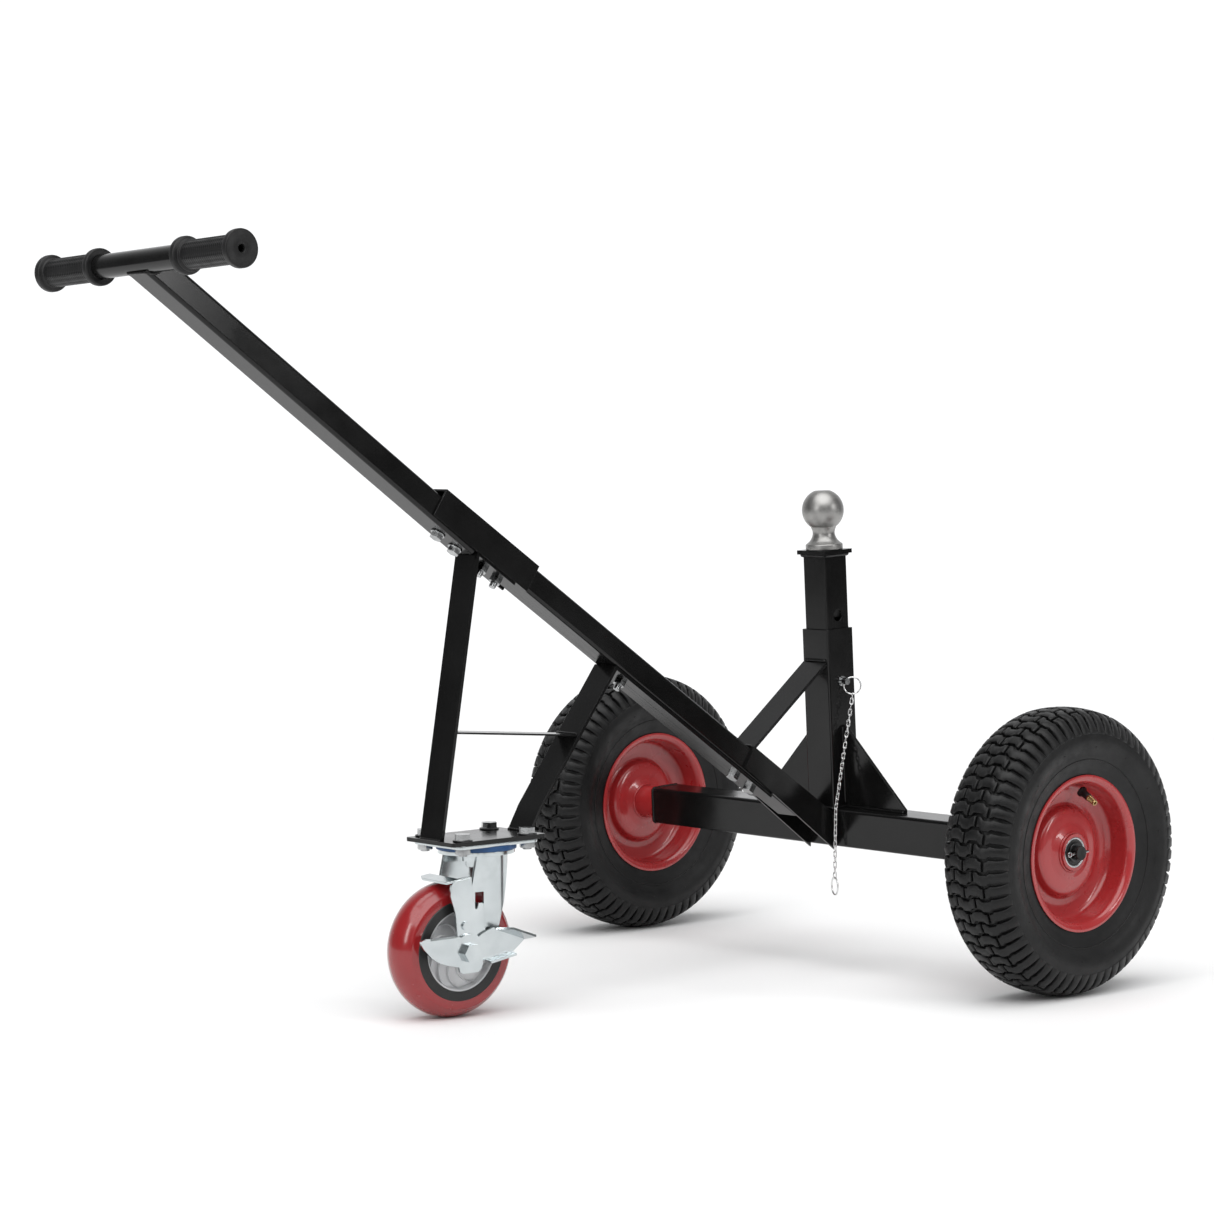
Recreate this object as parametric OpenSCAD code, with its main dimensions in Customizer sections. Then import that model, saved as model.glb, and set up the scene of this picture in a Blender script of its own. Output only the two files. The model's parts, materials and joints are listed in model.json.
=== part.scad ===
// Hand-pulled trailer dolly: two pneumatic wheels, a telescoping hitch-ball post,
// a bolted two-piece T-handle and a braked swivel caster.
// +Z is up, +X runs from the handle towards the hitch ball's front, and the origin is
// on the ground in the middle of the whole dolly's outline.

/* [Main wheels] */
// Outside radius of the pneumatic tyres
tyre_r = 165.1; // [160:0.1:170]
// Half the distance between the two wheels' middle planes
half_track = 363.6; // [355:0.1:380]
// Radius of the rims at their flanges
rim_r = 90; // [88:0.5:92]
// Half the width of a rim, from its middle plane to its flange
rim_half_w = 36; // [34:0.5:38]
// Radius of the axle
axle_r = 7.94; // [7.5:0.01:8]
// Outside radius of the wheel bearings
bearing_r = 17.5; // [17:0.1:18]

/* [Axle beam and post] */
// Side of the square axle beam
beam_w = 46; // [44:0.5:50]
// Half the length of the axle beam, with its end caps
beam_half = 307.7; // [300:0.1:312]
// Wall thickness of the square tubes
tube_t = 3; // [2.8:0.05:3.1]
// Side of the outer post tube
sleeve_w = 44.45; // [44.45:0.05:44.6]
// Height of the outer post tube's top above the axle
sleeve_top = 241; // [236:1:246]
// Side of the sliding inner post
inner_w = 38.1; // [38:0.05:38.2]
// Height of the inner post's top above the axle
inner_top = 332; // [326:1:338]
// Angle that the post and beam lean back towards the handle
frame_lean = 2.8; // [0:0.1:4]
// Radius of the lock pin's holes
pin_hole_r = 6.9; // [6.8:0.05:7]
// Height of the lock pin above the axle
pin_z = 177; // [172:1:182]
// Height of the spare hole above the axle
spare_z = 257; // [254:1:262]
// Diameter of the hitch ball
ball_d = 50.8; // [47.6:0.1:50.8]

/* [Handle] */
// Width of the handle tubes, across the dolly
handle_w = 38; // [36:0.5:40]
// Height of the handle tubes' section
handle_h = 29; // [28:0.5:30]
// Slope of the lower handle tube
lower_slope = 34.2; // [33.5:0.1:35]
// Slope of the upper handle tube
upper_slope = 35.3; // [35:0.1:35.6]
// Height where the lower handle's centre line meets the beam's front
lower_axis_z = 160.5; // [159:0.5:162]
// Distance from the axle back to the T-bar
bar_reach = 994; // [985:1:1000]
// Height of the T-bar above the ground
bar_z = 824; // [818:1:830]
// Tilt of the T-bar, near end up
bar_tilt = 1.9; // [0:0.1:3]
// Radius of the T-bar tube
bar_r = 12.7; // [12:0.1:13]
// Half the length of the T-bar over its grips
bar_half = 177; // [170:1:190]
// Length of each hand grip
grip_l = 101; // [95:1:110]

/* [Caster] */
// Distance from the axle back to the caster's swivel axis
caster_reach = 564; // [560:1:568]
// Height of the caster bracket plate's top face
bracket_z = 199.3; // [199:0.1:200]
// Radius of the caster wheel
caster_r = 76.2; // [75:0.1:76.5]
// Distance from the swivel axis back to the caster wheel's axle
trail = 37; // [35:0.5:40]
// Swivel angle of the caster as it stands
caster_swivel = -5; // [-10:1:10]
// Travel of the brake shoe down to the wheel
brake_travel = 3.2; // [3:0.1:3.3]

/* [Hidden] */

// Colours
black_paint = [0.05, 0.05, 0.05];
rubber = [0.07, 0.07, 0.07];
red_paint = [0.62, 0.08, 0.08];
red_tread = [0.65, 0.10, 0.10];
zinc = [0.78, 0.80, 0.82];
steel = [0.62, 0.62, 0.62];
blue_seal = [0.10, 0.22, 0.50];
grey_hub = [0.66, 0.66, 0.67];
brass = [0.76, 0.60, 0.30];

// Gap left between pieces that meet at a weld or a bolt
seam = 0.02;
// Clearance of pieces that pass each other
clear = 0.3;
// Longer than any piece that a cutter goes through
through = 1000;
$fn = 64;

// The whole outline runs from the T-bar's grip to the front of the tyres
grip_flange_r = 19.7;
origin_x = (bar_reach + grip_flange_r - tyre_r) / 2;

beam_t = 3;
cap_t = 3;
handle_t = 2;
channel_t = 2.8;
channel_gap = 0.3;
strut_w = 38;
strut_t = 4;
flange_z = -handle_h / 2 - seam - strut_t / 2;

// Stations along the lower handle, measured up from the beam's front face
socket_mouth = 172;
rear_bend = 409;
front_bend = 653;
channel_low = 573;
channel_high = 731;
channel_side = 16;
long_bolt_s = 134;
short_bolt_s = 165;

channel_screw_s = [603, 627];
rear_screw_s = 381;
// Stations of the splice bolts, measured down the upper handle from the T-bar
splice_x = [476, 505];
weld_nut_h = 5.5;

// Bolt sizes: radius of the shank, half the width across flats, height of the head
m8_r = 4;
m8_flat = 6.5;
m8_head = 5.5;
m8_washer_r = 8.5;
washer_t = 1.6;
m10_r = 5;
m10_flat = 8;
m10_head = 6.5;
m10_washer_r = 11;
plate_nut_h = 6;

// Height of each layer of the caster's head, from the bracket plate down
bracket_t = 4.5;
bracket_l = 133;
bracket_w = 84;
plate_t = 4;
plate_l = 114;
plate_w = 86;
plate_top = bracket_z - bracket_t - seam;
plate_low = plate_top - plate_t;
crown_top = plate_low - 5.8;
crown_t = 4.5;
crown_r = 43;
seal_r = 45;
bolt_span_x = 92;
bolt_span_y = 67;
kingpin_r = 8;
// Half the inside width of the fork, and its plate thickness
fork_half = 30;
fork_t = 4;
caster_half_w = 24;
caster_bolt_r = 6;
arm_t = 3;
pedal_t = 3;
pedal_y = fork_half + fork_t + clear + arm_t + clear;

// ---------- shared shapes ----------

function unit(v) = v / norm(v);
function left_of(a, b) = let (d = unit(b - a)) [-d[1], d[0]];
// The point beside point i of path p, at distance d to its left, with mitred corners
function beside(p, i, d) =
    let (
        before = max(i - 1, 0),
        after = min(i, len(p) - 2),
        n1 = left_of(p[before], p[before + 1]),
        n2 = left_of(p[after], p[after + 1]),
        m = unit(n1 + n2)
    )
    p[i] + m * d / (m * n1);
// The outline of a sheet of thickness t bent along path p
function sheet_outline(p, t) = concat(
    [for (i = [0:len(p) - 1]) beside(p, i, t / 2)],
    [for (i = [len(p) - 1:-1:0]) beside(p, i, -t / 2)]
);
// Points on an arc about c, from angle a0 to a1
function arc(c, r, a0, a1, steps) = [
    for (i = [0:steps]) c + r * [cos(a0 + (a1 - a0) * i / steps), sin(a0 + (a1 - a0) * i / steps)]
];

module from_axle() translate([origin_x, 0, 0]) children();
// The leaning frame, with its origin at the middle of the axle
module leaning() from_axle() translate([0, 0, tyre_r]) rotate([0, -frame_lean, 0]) children();
// Along the lower handle: -X runs up the handle from the beam's front face, +Z out of its top
module along_lower() from_axle() translate([-beam_w / 2, 0, lower_axis_z]) rotate([0, lower_slope, 0])
    children();
// Along the upper handle: +X runs down the handle from the T-bar
module along_upper() from_axle() translate([-bar_reach, 0, bar_z]) rotate([0, upper_slope, 0]) children();
// The T-bar's frame, with +Z along the bar towards the far grip
module along_bar() from_axle() translate([-bar_reach, 0, bar_z]) rotate([-90 - bar_tilt, 0, 0]) children();
// A wheel's frame: side is -1 for the near wheel and 1 for the far one, +Z points away from the beam
module at_wheel(side) from_axle() translate([0, side * half_track, tyre_r]) rotate([-90 * side, 0, 0])
    children();
// The caster's frame, with its origin on the ground below the swivel axis
module at_caster() from_axle() translate([-caster_reach, 0, 0]) rotate([0, 0, caster_swivel]) children();
// The caster wheel's frame, with +Z along its axle towards the far side
module at_caster_wheel() at_caster() translate([-trail, 0, caster_r]) rotate([-90, 0, 0]) children();

module block(x0, x1, y0, y1, z0, z1) translate([x0, y0, z0]) cube([x1 - x0, y1 - y0, z1 - z0]);

// A rectangle with round corners, centred
module round_rect(w, h, r) {
    square([w - 2 * r, h], center = true);
    square([w, h - 2 * r], center = true);
    for (x = [-1, 1], y = [-1, 1]) translate([x * (w / 2 - r), y * (h / 2 - r)]) circle(r);
}

// A tube along +Z of outside w by h, wall t, from z0 to z1
module box_tube(w, h, t, r, z0, z1) translate([0, 0, z0]) linear_extrude(z1 - z0)
    difference() {
        round_rect(w, h, r);
        round_rect(w - 2 * t, h - 2 * t, max(r - t, 0.5));
    }

// Plate in the XZ plane from a 2D outline, between y0 and y1
module upright_plate(y0, y1) translate([0, y1, 0]) rotate([90, 0, 0]) linear_extrude(y1 - y0) children();

module hex(flat, h) cylinder(r = flat / cos(30), h = h, $fn = 6);

module ring(outer, inner, h) difference() {
    cylinder(r = outer, h = h);
    translate([0, 0, -1]) cylinder(r = inner, h = h + 2);
}

module hex_nut(flat, hole_r, h) difference() {
    hex(flat, h);
    translate([0, 0, -1]) cylinder(r = hole_r, h = h + 2);
}

// Bolt with its head's underside at z = 0, its shank along +Z
module hex_bolt(r, flat, head_h, l) {
    translate([0, 0, -head_h]) hex(flat, head_h);
    cylinder(r = r, h = l);
}

// ---------- axle and beam ----------

module beam_bar() rotate([-90, 0, 0])
    box_tube(beam_w, beam_w, beam_t, 4, -beam_half + cap_t + seam, beam_half - cap_t - seam);

module axle_beam() color(black_paint) leaning() beam_bar();

module beam_end_caps() color(black_paint) leaning() for (side = [-1, 1])
    translate([0, side * (beam_half - cap_t / 2), 0]) rotate([90, 0, 0]) translate([0, 0, -cap_t / 2])
        linear_extrude(cap_t) difference() {
            round_rect(beam_w, beam_w, 4);
            circle(axle_r + seam);
        }

axle_half = half_track + 32;
cotter_s = 28.5;
cotter_r = 1.6;

module axle_shaft() color(steel) leaning() difference() {
    translate([0, -axle_half, 0]) rotate([-90, 0, 0]) cylinder(r = axle_r, h = 2 * axle_half);
    for (side = [-1, 1]) translate([-axle_r - 2, side * (half_track + cotter_s), 0]) rotate([0, 90, 0])
        cylinder(r = cotter_r + 0.2, h = 2 * axle_r + 4);
}

hub_half = 22;
spacer_r = 11;
axle_washer_r = 11.5;
module axle_spacers() color(zinc) leaning() for (side = [-1, 1])
    translate([0, side * (beam_half + seam), 0]) rotate([-90 * side, 0, 0])
        ring(spacer_r, axle_r + seam, half_track - hub_half - beam_half - clear);

module axle_washers() color(zinc) leaning() for (side = [-1, 1])
    translate([0, side * (half_track + hub_half + clear), 0]) rotate([-90 * side, 0, 0])
        ring(axle_washer_r, axle_r + seam, 2);

module cotter_pins() color(zinc) leaning() for (side = [-1, 1])
    translate([0, side * (half_track + cotter_s), 0]) {
        translate([-14, 0, 0]) rotate([0, 90, 0]) cylinder(r = cotter_r, h = 29);
        translate([-16.2, 0, 0]) rotate([90, 0, 0]) rotate_extrude() translate([2.6, 0]) circle(0.9);
    }

// ---------- wheels ----------

// Section of the tyre's outside, or of its hollow when shrunk by t
module tyre_section(t) {
    crown_r = 110;
    wall_r = 34;
    wall_s = 11.5;
    intersection() {
        translate([tyre_r - crown_r, 0]) circle(crown_r - t, $fn = 128);
        union() {
            for (side = [-1, 1]) translate([131, side * wall_s]) circle(wall_r - t);
            translate([131, 0]) square([2 * (wall_r - t), 2 * wall_s], center = true);
            polygon([
                [80 - t, -31 + t], [96, -36 + t], [112, -40.5 + t], [112, 40.5 - t], [96, 36 - t],
                [80 - t, 31 - t]
            ]);
        }
    }
}

// One pressed half of the rim, as its middle line from the flange in to the hub
rim_t = 2;
bead_r = 81;
hub_r = 21;
hub_edge_s = 17.5;
rim_path = concat(
    arc([rim_r - 2.4, rim_half_w - 8], 7, 75, 180, 6),
    [[bead_r - 0.3, 20], [79.5, 14]],
    arc([70, 12.5], 9, -5, -85, 5),
    [[63, 1.6], [56, 1.6]],
    arc([56, 7], 5.4, -100, -170, 4),
    [[48.5, 10.5], [44, 12.6], [32, 13.6], [27, 15.6], [hub_r + 1.2, hub_edge_s]]
);
module rim() for (face = [0, 1]) mirror([0, 0, face]) rotate_extrude($fn = 96)
    intersection() {
        polygon(sheet_outline(rim_path, rim_t));
        translate([0, seam]) square([through, through]);
    }

// Everything on the hub's side of a rim half, for fitting the tyre's bead to it
module rim_side() polygon(concat(
    [for (i = [0:len(rim_path) - 1]) beside(rim_path, i, rim_t / 2 + seam)],
    [[0, hub_edge_s], [0, 2 * rim_half_w], [rim_r, 2 * rim_half_w]]
));

module tyre() rotate_extrude($fn = 128) difference() {
    tyre_section(0);
    tyre_section(9);
    // The hollow is open towards the rim between the two beads
    translate([70, -21]) square([40, 42]);
    rim_side();
    mirror([0, 1]) rim_side();
}

// The hub tube, with a seat for a bearing at each end
bearing_w = 11;
module hub() difference() {
    translate([0, 0, -hub_half]) cylinder(r = hub_r, h = 2 * hub_half);
    translate([0, 0, -hub_half - 1]) cylinder(r = bearing_r - 3, h = 2 * hub_half + 2);
    for (z = [-hub_half - 1, hub_half - bearing_w]) translate([0, 0, z])
        cylinder(r = bearing_r + seam, h = bearing_w + 1);
}

module bearings() for (z = [-hub_half, hub_half - bearing_w + seam]) translate([0, 0, z])
    difference() {
        cylinder(r = bearing_r, h = bearing_w - seam);
        translate([0, 0, -1]) cylinder(r = axle_r + 0.06, h = bearing_w + 2);
        for (face = [-0.01, bearing_w - 0.8]) translate([0, 0, face])
            ring(bearing_r - 2.2, axle_r + 2.2, 0.8);
    }

// The valve leans out of the rim's well, towards the outer side
valve_turn = 75;
valve_at = [70.5, 0, 16];
valve_lean = 28;
module valve() rotate([0, 0, valve_turn]) translate(valve_at) rotate([0, -valve_lean, 0]) {
    cylinder(r = 6.2, h = 3);
    cylinder(r = 4.2, h = 14);
    translate([0, 0, 14 + seam]) cylinder(r = 3.9, h = 3);
    translate([0, 0, 17]) cylinder(r = 3.3, h = 11);
}

module near_tyre() color(rubber) at_wheel(-1) tyre();
module near_rim() color(red_paint) at_wheel(-1) rim();
module near_hub() color(red_paint) at_wheel(-1) hub();
module near_bearings() color(steel) at_wheel(-1) bearings();
module near_valve() color(brass) at_wheel(-1) valve();
module far_tyre() color(rubber) at_wheel(1) tyre();
module far_rim() color(red_paint) at_wheel(1) rim();
module far_hub() color(red_paint) at_wheel(1) hub();
module far_bearings() color(steel) at_wheel(1) bearings();
module far_valve() color(brass) at_wheel(1) valve();

// ---------- post ----------

post_foot = beam_w / 2 + seam;
post_inner_low = 120;

module pin_hole(z) translate([0, 0, z]) rotate([90, 0, 0])
    cylinder(r = pin_hole_r, h = 2 * sleeve_w, center = true);

module post_sleeve() color(black_paint) leaning() difference() {
    box_tube(sleeve_w, sleeve_w, tube_t, 3, post_foot, sleeve_top);
    pin_hole(pin_z);
}

module inner_post() color(black_paint) leaning() difference() {
    box_tube(inner_w, inner_w, 2.5, 3, post_inner_low, inner_top);
    pin_hole(pin_z);
    pin_hole(spare_z);
}

gusset_t = 4;
gusset_leg = 100;
module post_gussets() color(black_paint) leaning() for (side = [-1, 1])
    mirror([0, side < 0 ? 1 : 0, 0]) translate([gusset_t / 2, 0, 0]) rotate([0, -90, 0])
        linear_extrude(gusset_t) polygon([
            [post_foot, sleeve_w / 2 + seam],
            [post_foot, sleeve_w / 2 + gusset_leg],
            [post_foot + 4, sleeve_w / 2 + gusset_leg],
            [post_foot + gusset_leg, sleeve_w / 2 + 4],
            [post_foot + gusset_leg, sleeve_w / 2 + seam]
        ]);

ball_plate_t = 5;
ball_plate_w = 48;
ball_shank_r = 9.5;
// Height of the ball's middle over its foot
ball_rise = 48;
module ball_plate() color(black_paint) leaning() translate([0, 0, inner_top + seam])
    linear_extrude(ball_plate_t) difference() {
        round_rect(ball_plate_w, ball_plate_w, 1.5);
        circle(ball_shank_r + 0.2);
    }

// The ball turned in one piece with its neck, foot and threaded shank
module hitch_ball() color(steel) leaning() {
    foot_z = inner_top + ball_plate_t + 2 * seam;
    ball_z = foot_z + ball_rise;
    flat_h = 23.6;
    foot_r = 22.5;
    neck_r = 13.3;
    cove_r = 9;
    groove_r = 3.6;
    difference() {
        translate([0, 0, ball_z]) sphere(ball_d / 2, $fn = 96);
        translate([0, 0, ball_z + flat_h + 10]) cube([40, 40, 20], center = true);
    }
    translate([0, 0, foot_z]) rotate_extrude($fn = 96) difference() {
        union() {
            square([foot_r, 7]);
            square([neck_r + 6, 30]);
        }
        translate([neck_r + cove_r, 19]) circle(cove_r);
        translate([neck_r + 5, 16]) square([20, 20]);
        translate([foot_r + 1, 10.5]) circle(groove_r);
    }
    shank_l = 34;
    translate([0, 0, foot_z - shank_l]) cylinder(r = ball_shank_r, h = shank_l + 2);
}

module ball_nut() color(zinc) leaning() translate([0, 0, inner_top - 16])
    hex_nut(13.9, ball_shank_r + 0.05, 15.9);

// ---------- handle ----------

lower_start = 60;
socket_in_w = handle_w + 2 * channel_gap;
socket_w = socket_in_w + 2 * channel_t;
socket_top = handle_h / 2 + channel_t + seam;

// The space taken by the beam, for cutting what is welded to it
module beam_space() leaning() cube([beam_w + 2 * seam, 2 * beam_half, beam_w + 2 * seam], center = true);
// The space taken by the post, for cutting what is welded to it
module post_space() leaning() translate([0, 0, post_foot + 200])
    cube([sleeve_w + 2 * seam, sleeve_w + 2 * seam, 400], center = true);

// An open-bottomed channel welded to the beam's front, deeper at the beam than at its mouth
module handle_socket() color(black_paint) difference() {
    along_lower() difference() {
        upright_plate(-socket_w / 2, socket_w / 2) polygon([
            [-socket_mouth, socket_top], [25, socket_top], [25, -19], [-socket_mouth, -11.5]
        ]);
        block(-socket_mouth - 1, through, -socket_in_w / 2, socket_in_w / 2, -50, socket_top - channel_t);
        translate([-long_bolt_s, 0, 0]) cylinder(r = m8_r + 0.3, h = 40);
    }
    beam_space();
    post_space();
    // The channel stops at the beam's front face
    leaning() block(-beam_w / 2, 60, -60, 60, -60, beam_w / 2 + seam);
}

// A flat strap from the post's front down to the top of the socket's mouth
strap_top_z = 203;
strap_slope = 38;
strap_t = 4;
module brace_strap() color(black_paint) difference() {
    leaning() translate([-sleeve_w / 2, 0, strap_top_z]) rotate([0, -strap_slope + frame_lean, 0])
        block(-200, 30, -strut_w / 2, strut_w / 2, -strap_t, 0);
    post_space();
    along_lower() block(-400, 200, -60, 60, -200, socket_top + seam);
    along_lower() block(-400, -socket_mouth + 1, -60, 60, -200, 60);
}

module lower_handle() color(black_paint) along_lower() difference() {
    rotate([0, -90, 0]) box_tube(handle_h, handle_w, handle_t, 4, lower_start, front_bend - 4);
    for (s = concat([long_bolt_s, rear_screw_s], channel_screw_s)) translate([-s, 0, -30])
        cylinder(r = m8_r + 0.3, h = 60);
    translate([-short_bolt_s, 0, -30]) cylinder(r = m8_r + 0.3, h = 30);
}

module splice_channel() color(black_paint) along_lower() difference() {
    block(-channel_high, -channel_low, -socket_w / 2, socket_w / 2, -channel_side, socket_top);
    block(-through, 0, -socket_in_w / 2, socket_in_w / 2, -50, socket_top - channel_t);
    for (s = channel_screw_s) translate([-s, 0, 0]) {
        cylinder(r = m8_r + 0.3, h = 40);
        translate([0, 0, socket_top - channel_t])
            cylinder(r1 = m8_r + 0.3, r2 = m8_r + 3.3, h = channel_t + seam);
    }
}

upper_len = 517;
module upper_handle() color(black_paint) difference() {
    along_upper() rotate([0, 90, 0]) box_tube(handle_h, handle_w, handle_t, 4, 0, upper_len);
    along_bar() cylinder(r = bar_r + seam, h = 100, center = true);
    along_upper() block(-40, 0, -40, 40, -40, 40);
    along_upper() for (x = splice_x) translate([x, 0, -50]) cylinder(r = m8_r + 0.3, h = 100);
}

// The upper tube hangs under the splice channel on two bolts, with weld nuts in the gap above it
module splice_weld_nuts() color(zinc) along_upper() for (x = splice_x)
    translate([x, 0, handle_h / 2 + seam]) hex_nut(m8_flat, m8_r + 0.05, weld_nut_h);

module splice_washers() color(zinc) along_upper() for (x = splice_x)
    translate([x, 0, -handle_h / 2 - seam - washer_t]) ring(m8_washer_r, m8_r + 0.1, washer_t);

module splice_bolts() color(zinc) along_upper() for (x = splice_x)
    translate([x, 0, -handle_h / 2 - 2 * seam - washer_t])
        hex_bolt(m8_r, m8_flat, m8_head, handle_h + washer_t + weld_nut_h);

// Countersunk screws down through the splice channel and the lower tube
module flange_screws() color(zinc) along_lower() {
    for (s = channel_screw_s) translate([-s, 0, 0]) {
        translate([0, 0, -30]) cylinder(r = m8_r, h = 30 + socket_top - channel_t);
        translate([0, 0, socket_top - channel_t]) cylinder(r1 = m8_r, r2 = m8_r + 3, h = channel_t);
    }
    translate([-rear_screw_s, 0, -30]) cylinder(r = m8_r, h = 30 + handle_h / 2 + seam);
    translate([-rear_screw_s, 0, handle_h / 2 + seam]) cylinder(r = m8_r + 3, h = 1.6);
}

module flange_nuts() color(zinc) along_lower() for (s = concat([rear_screw_s], channel_screw_s))
    translate([-s, 0, flange_z - strut_t / 2 - seam - m8_head]) hex_nut(m8_flat, m8_r + 0.05, m8_head);

// One bolt goes right through to the socket's top, the other to a nut inside the tube
flange_face = flange_z - strut_t / 2 - seam;
tube_floor = -handle_h / 2 + handle_t;
module socket_bolts() color(zinc) along_lower() {
    translate([-long_bolt_s, 0, flange_face])
        hex_bolt(m8_r, m8_flat, m8_head, socket_top + 7 - flange_face);
    translate([-short_bolt_s, 0, flange_face])
        hex_bolt(m8_r, m8_flat, m8_head, tube_floor + 8 - flange_face);
}

module socket_nuts() color(zinc) along_lower() {
    translate([-long_bolt_s, 0, socket_top + seam]) hex_nut(m8_flat, m8_r + 0.05, 4.5);
    translate([-short_bolt_s, 0, tube_floor + seam]) hex_nut(m8_flat, m8_r + 0.05, m8_head);
}

// ---------- T-bar ----------

module t_bar() color(black_paint) along_bar() difference() {
    cylinder(r = bar_r, h = 2 * (bar_half - 6), center = true);
    cylinder(r = bar_r - 2, h = 2 * bar_half, center = true);
}

grip_r = 15;
module grip() rotate_extrude() difference() {
    union() {
        translate([0, bar_half - grip_l]) square([grip_r, grip_l]);
        for (z = [bar_half - grip_l + 4, bar_half - 4.5]) {
            translate([grip_flange_r - 4, z]) circle(4);
            translate([0, z - 4]) square([grip_flange_r - 4, 8]);
        }
        translate([0, bar_half - 4.5]) square([grip_flange_r - 4, 4.5]);
    }
    translate([0, bar_half - 110]) square([bar_r + seam, 104.5]);
    translate([0, bar_half - 20]) square([4, 40]);
}

module grip_near() color(rubber) along_bar() mirror([0, 0, 1]) grip();
module grip_far() color(rubber) along_bar() grip();

// ---------- struts ----------

// Point in the XZ plane at station s and height h of the lower handle
function on_lower(s, h) = [
    -beam_w / 2 - s * cos(lower_slope) + h * sin(lower_slope),
    lower_axis_z + s * sin(lower_slope) + h * cos(lower_slope)
];
bracket_front = -caster_reach - bracket_l / 2;
bracket_back = -caster_reach + bracket_l / 2;
strut_foot_z = bracket_z + seam;
front_path = [on_lower(590, flange_z), on_lower(front_bend, flange_z), [bracket_front + 4, strut_foot_z]];
rear_path = [
    on_lower(112, flange_z), on_lower(rear_bend, flange_z), [bracket_back + 12, 225],
    [bracket_back - 3, strut_foot_z]
];

module strut(path) from_axle() intersection() {
    rotate([90, 0, 0]) linear_extrude(strut_w, center = true) polygon(sheet_outline(path, strut_t));
    block(-through, through, -50, 50, strut_foot_z, through);
}

module front_strut() color(black_paint) difference() {
    strut(front_path);
    along_lower() for (s = channel_screw_s) translate([-s, 0, -50]) cylinder(r = m8_r + 0.3, h = 60);
}

module rear_strut() color(black_paint) difference() {
    strut(rear_path);
    along_lower() for (s = [long_bolt_s, short_bolt_s, rear_screw_s]) translate([-s, 0, -50])
        cylinder(r = m8_r + 0.3, h = 60);
}

// A flat bar between the two struts, its ends cut to the struts' slopes
tie_front_z = 317;
tie_back_z = 303;
tie_t = 2;
tie_w = 36;
// Where the face of a strut lying along a to b, at distance d beside it, is at height z
function face_x(a, b, d, z) =
    a[0] + (b[0] - a[0]) * (z - a[1]) / (b[1] - a[1]) + d * norm(b - a) / abs(b[1] - a[1]);
module strut_tie() color(black_paint) from_axle() upright_plate(-tie_w / 2, tie_w / 2) {
    reach = strut_t / 2 + 0.1;
    front = [for (e = [-tie_t / 2, tie_t / 2])
        [face_x(front_path[1], front_path[2], reach, tie_front_z + e), tie_front_z + e]];
    back = [for (e = [tie_t / 2, -tie_t / 2])
        [face_x(rear_path[1], rear_path[2], -reach, tie_back_z + e), tie_back_z + e]];
    polygon(concat(front, back));
}

// ---------- caster ----------

module plate_corners() for (x = [-1, 1], y = [-1, 1])
    translate([x * bolt_span_x / 2, y * bolt_span_y / 2, 0]) children();

module bracket_plate() color(black_paint) from_axle()
    translate([-caster_reach, 0, bracket_z - bracket_t]) linear_extrude(bracket_t) difference() {
        round_rect(bracket_l, bracket_w, 3);
        plate_corners() circle(m10_r + 0.4);
    }

module caster_plate() color(zinc) from_axle() translate([-caster_reach, 0, plate_low])
    linear_extrude(plate_t) difference() {
        round_rect(plate_l, plate_w, 8);
        plate_corners() circle(m10_r + 0.4);
        circle(kingpin_r + 0.02);
    }

module plate_washers() color(zinc) from_axle() translate([-caster_reach, 0, bracket_z + seam])
    plate_corners() ring(m10_washer_r, m10_r + 0.2, washer_t);

module plate_bolts() color(zinc) from_axle()
    translate([-caster_reach, 0, bracket_z + washer_t + 2 * seam]) plate_corners() mirror([0, 0, 1])
        hex_bolt(m10_r, m10_flat, m10_head, washer_t + bracket_t + plate_t + plate_nut_h + 2);

module plate_nuts() color(zinc) from_axle() translate([-caster_reach, 0, plate_low - seam - plate_nut_h])
    plate_corners() hex_nut(m10_flat, m10_r + 0.05, plate_nut_h);

// Dust seal round the upper ball race
module race_ring() color(blue_seal) at_caster() translate([0, 0, crown_top + clear])
    ring(seal_r, seal_r - 4, plate_low - seam - crown_top - clear);

ball_pitch_r = 33;
race_ball_r = 2.6;
race_balls = 24;
module swivel_balls() color(steel) at_caster()
    for (i = [0:race_balls - 1]) rotate(i * 360 / race_balls)
        translate([ball_pitch_r, 0, (crown_top + plate_low) / 2]) sphere(race_ball_r, $fn = 24);

// Kingpin riveted to the caster plate, with the lower race cup and its nut
kingpin_low = 164;
kingpin_nut_r = 11.5;
kingpin_nut_h = 6;
kingpin_washer_low = kingpin_low + 1 + kingpin_nut_h;
kingpin_washer_r = 15.5;
module kingpin() color(zinc) at_caster() {
    translate([0, 0, kingpin_low]) cylinder(r = kingpin_r, h = plate_low + plate_t - kingpin_low);
    translate([0, 0, kingpin_low + 1]) hex(kingpin_nut_r, kingpin_nut_h);
    translate([0, 0, kingpin_washer_low])
        cylinder(r = kingpin_washer_r, h = crown_top - crown_t - clear - kingpin_washer_low);
}

// Outline of one fork leg in the XZ plane, with +X towards the beam
leg_top = crown_top - 1;
leg_slot_x = -24.7;
leg_slot_z = 121;
axle_boss_r = 15;
module leg_outline() difference() {
    union() {
        polygon([
            [-21, leg_top], [25.5, leg_top], [24.4, 168], [15.1, 129], [7, 102], [-24, 68],
            [-trail - 12, 68],
            [-50, 92], [-28, 152], [-26.5, 159]
        ]);
        translate([-trail, caster_r]) circle(axle_boss_r);
    }
    translate([-trail, caster_r]) circle(caster_bolt_r + 0.2);
    translate([leg_slot_x, leg_slot_z]) square([11.4, 20]);
}

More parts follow.
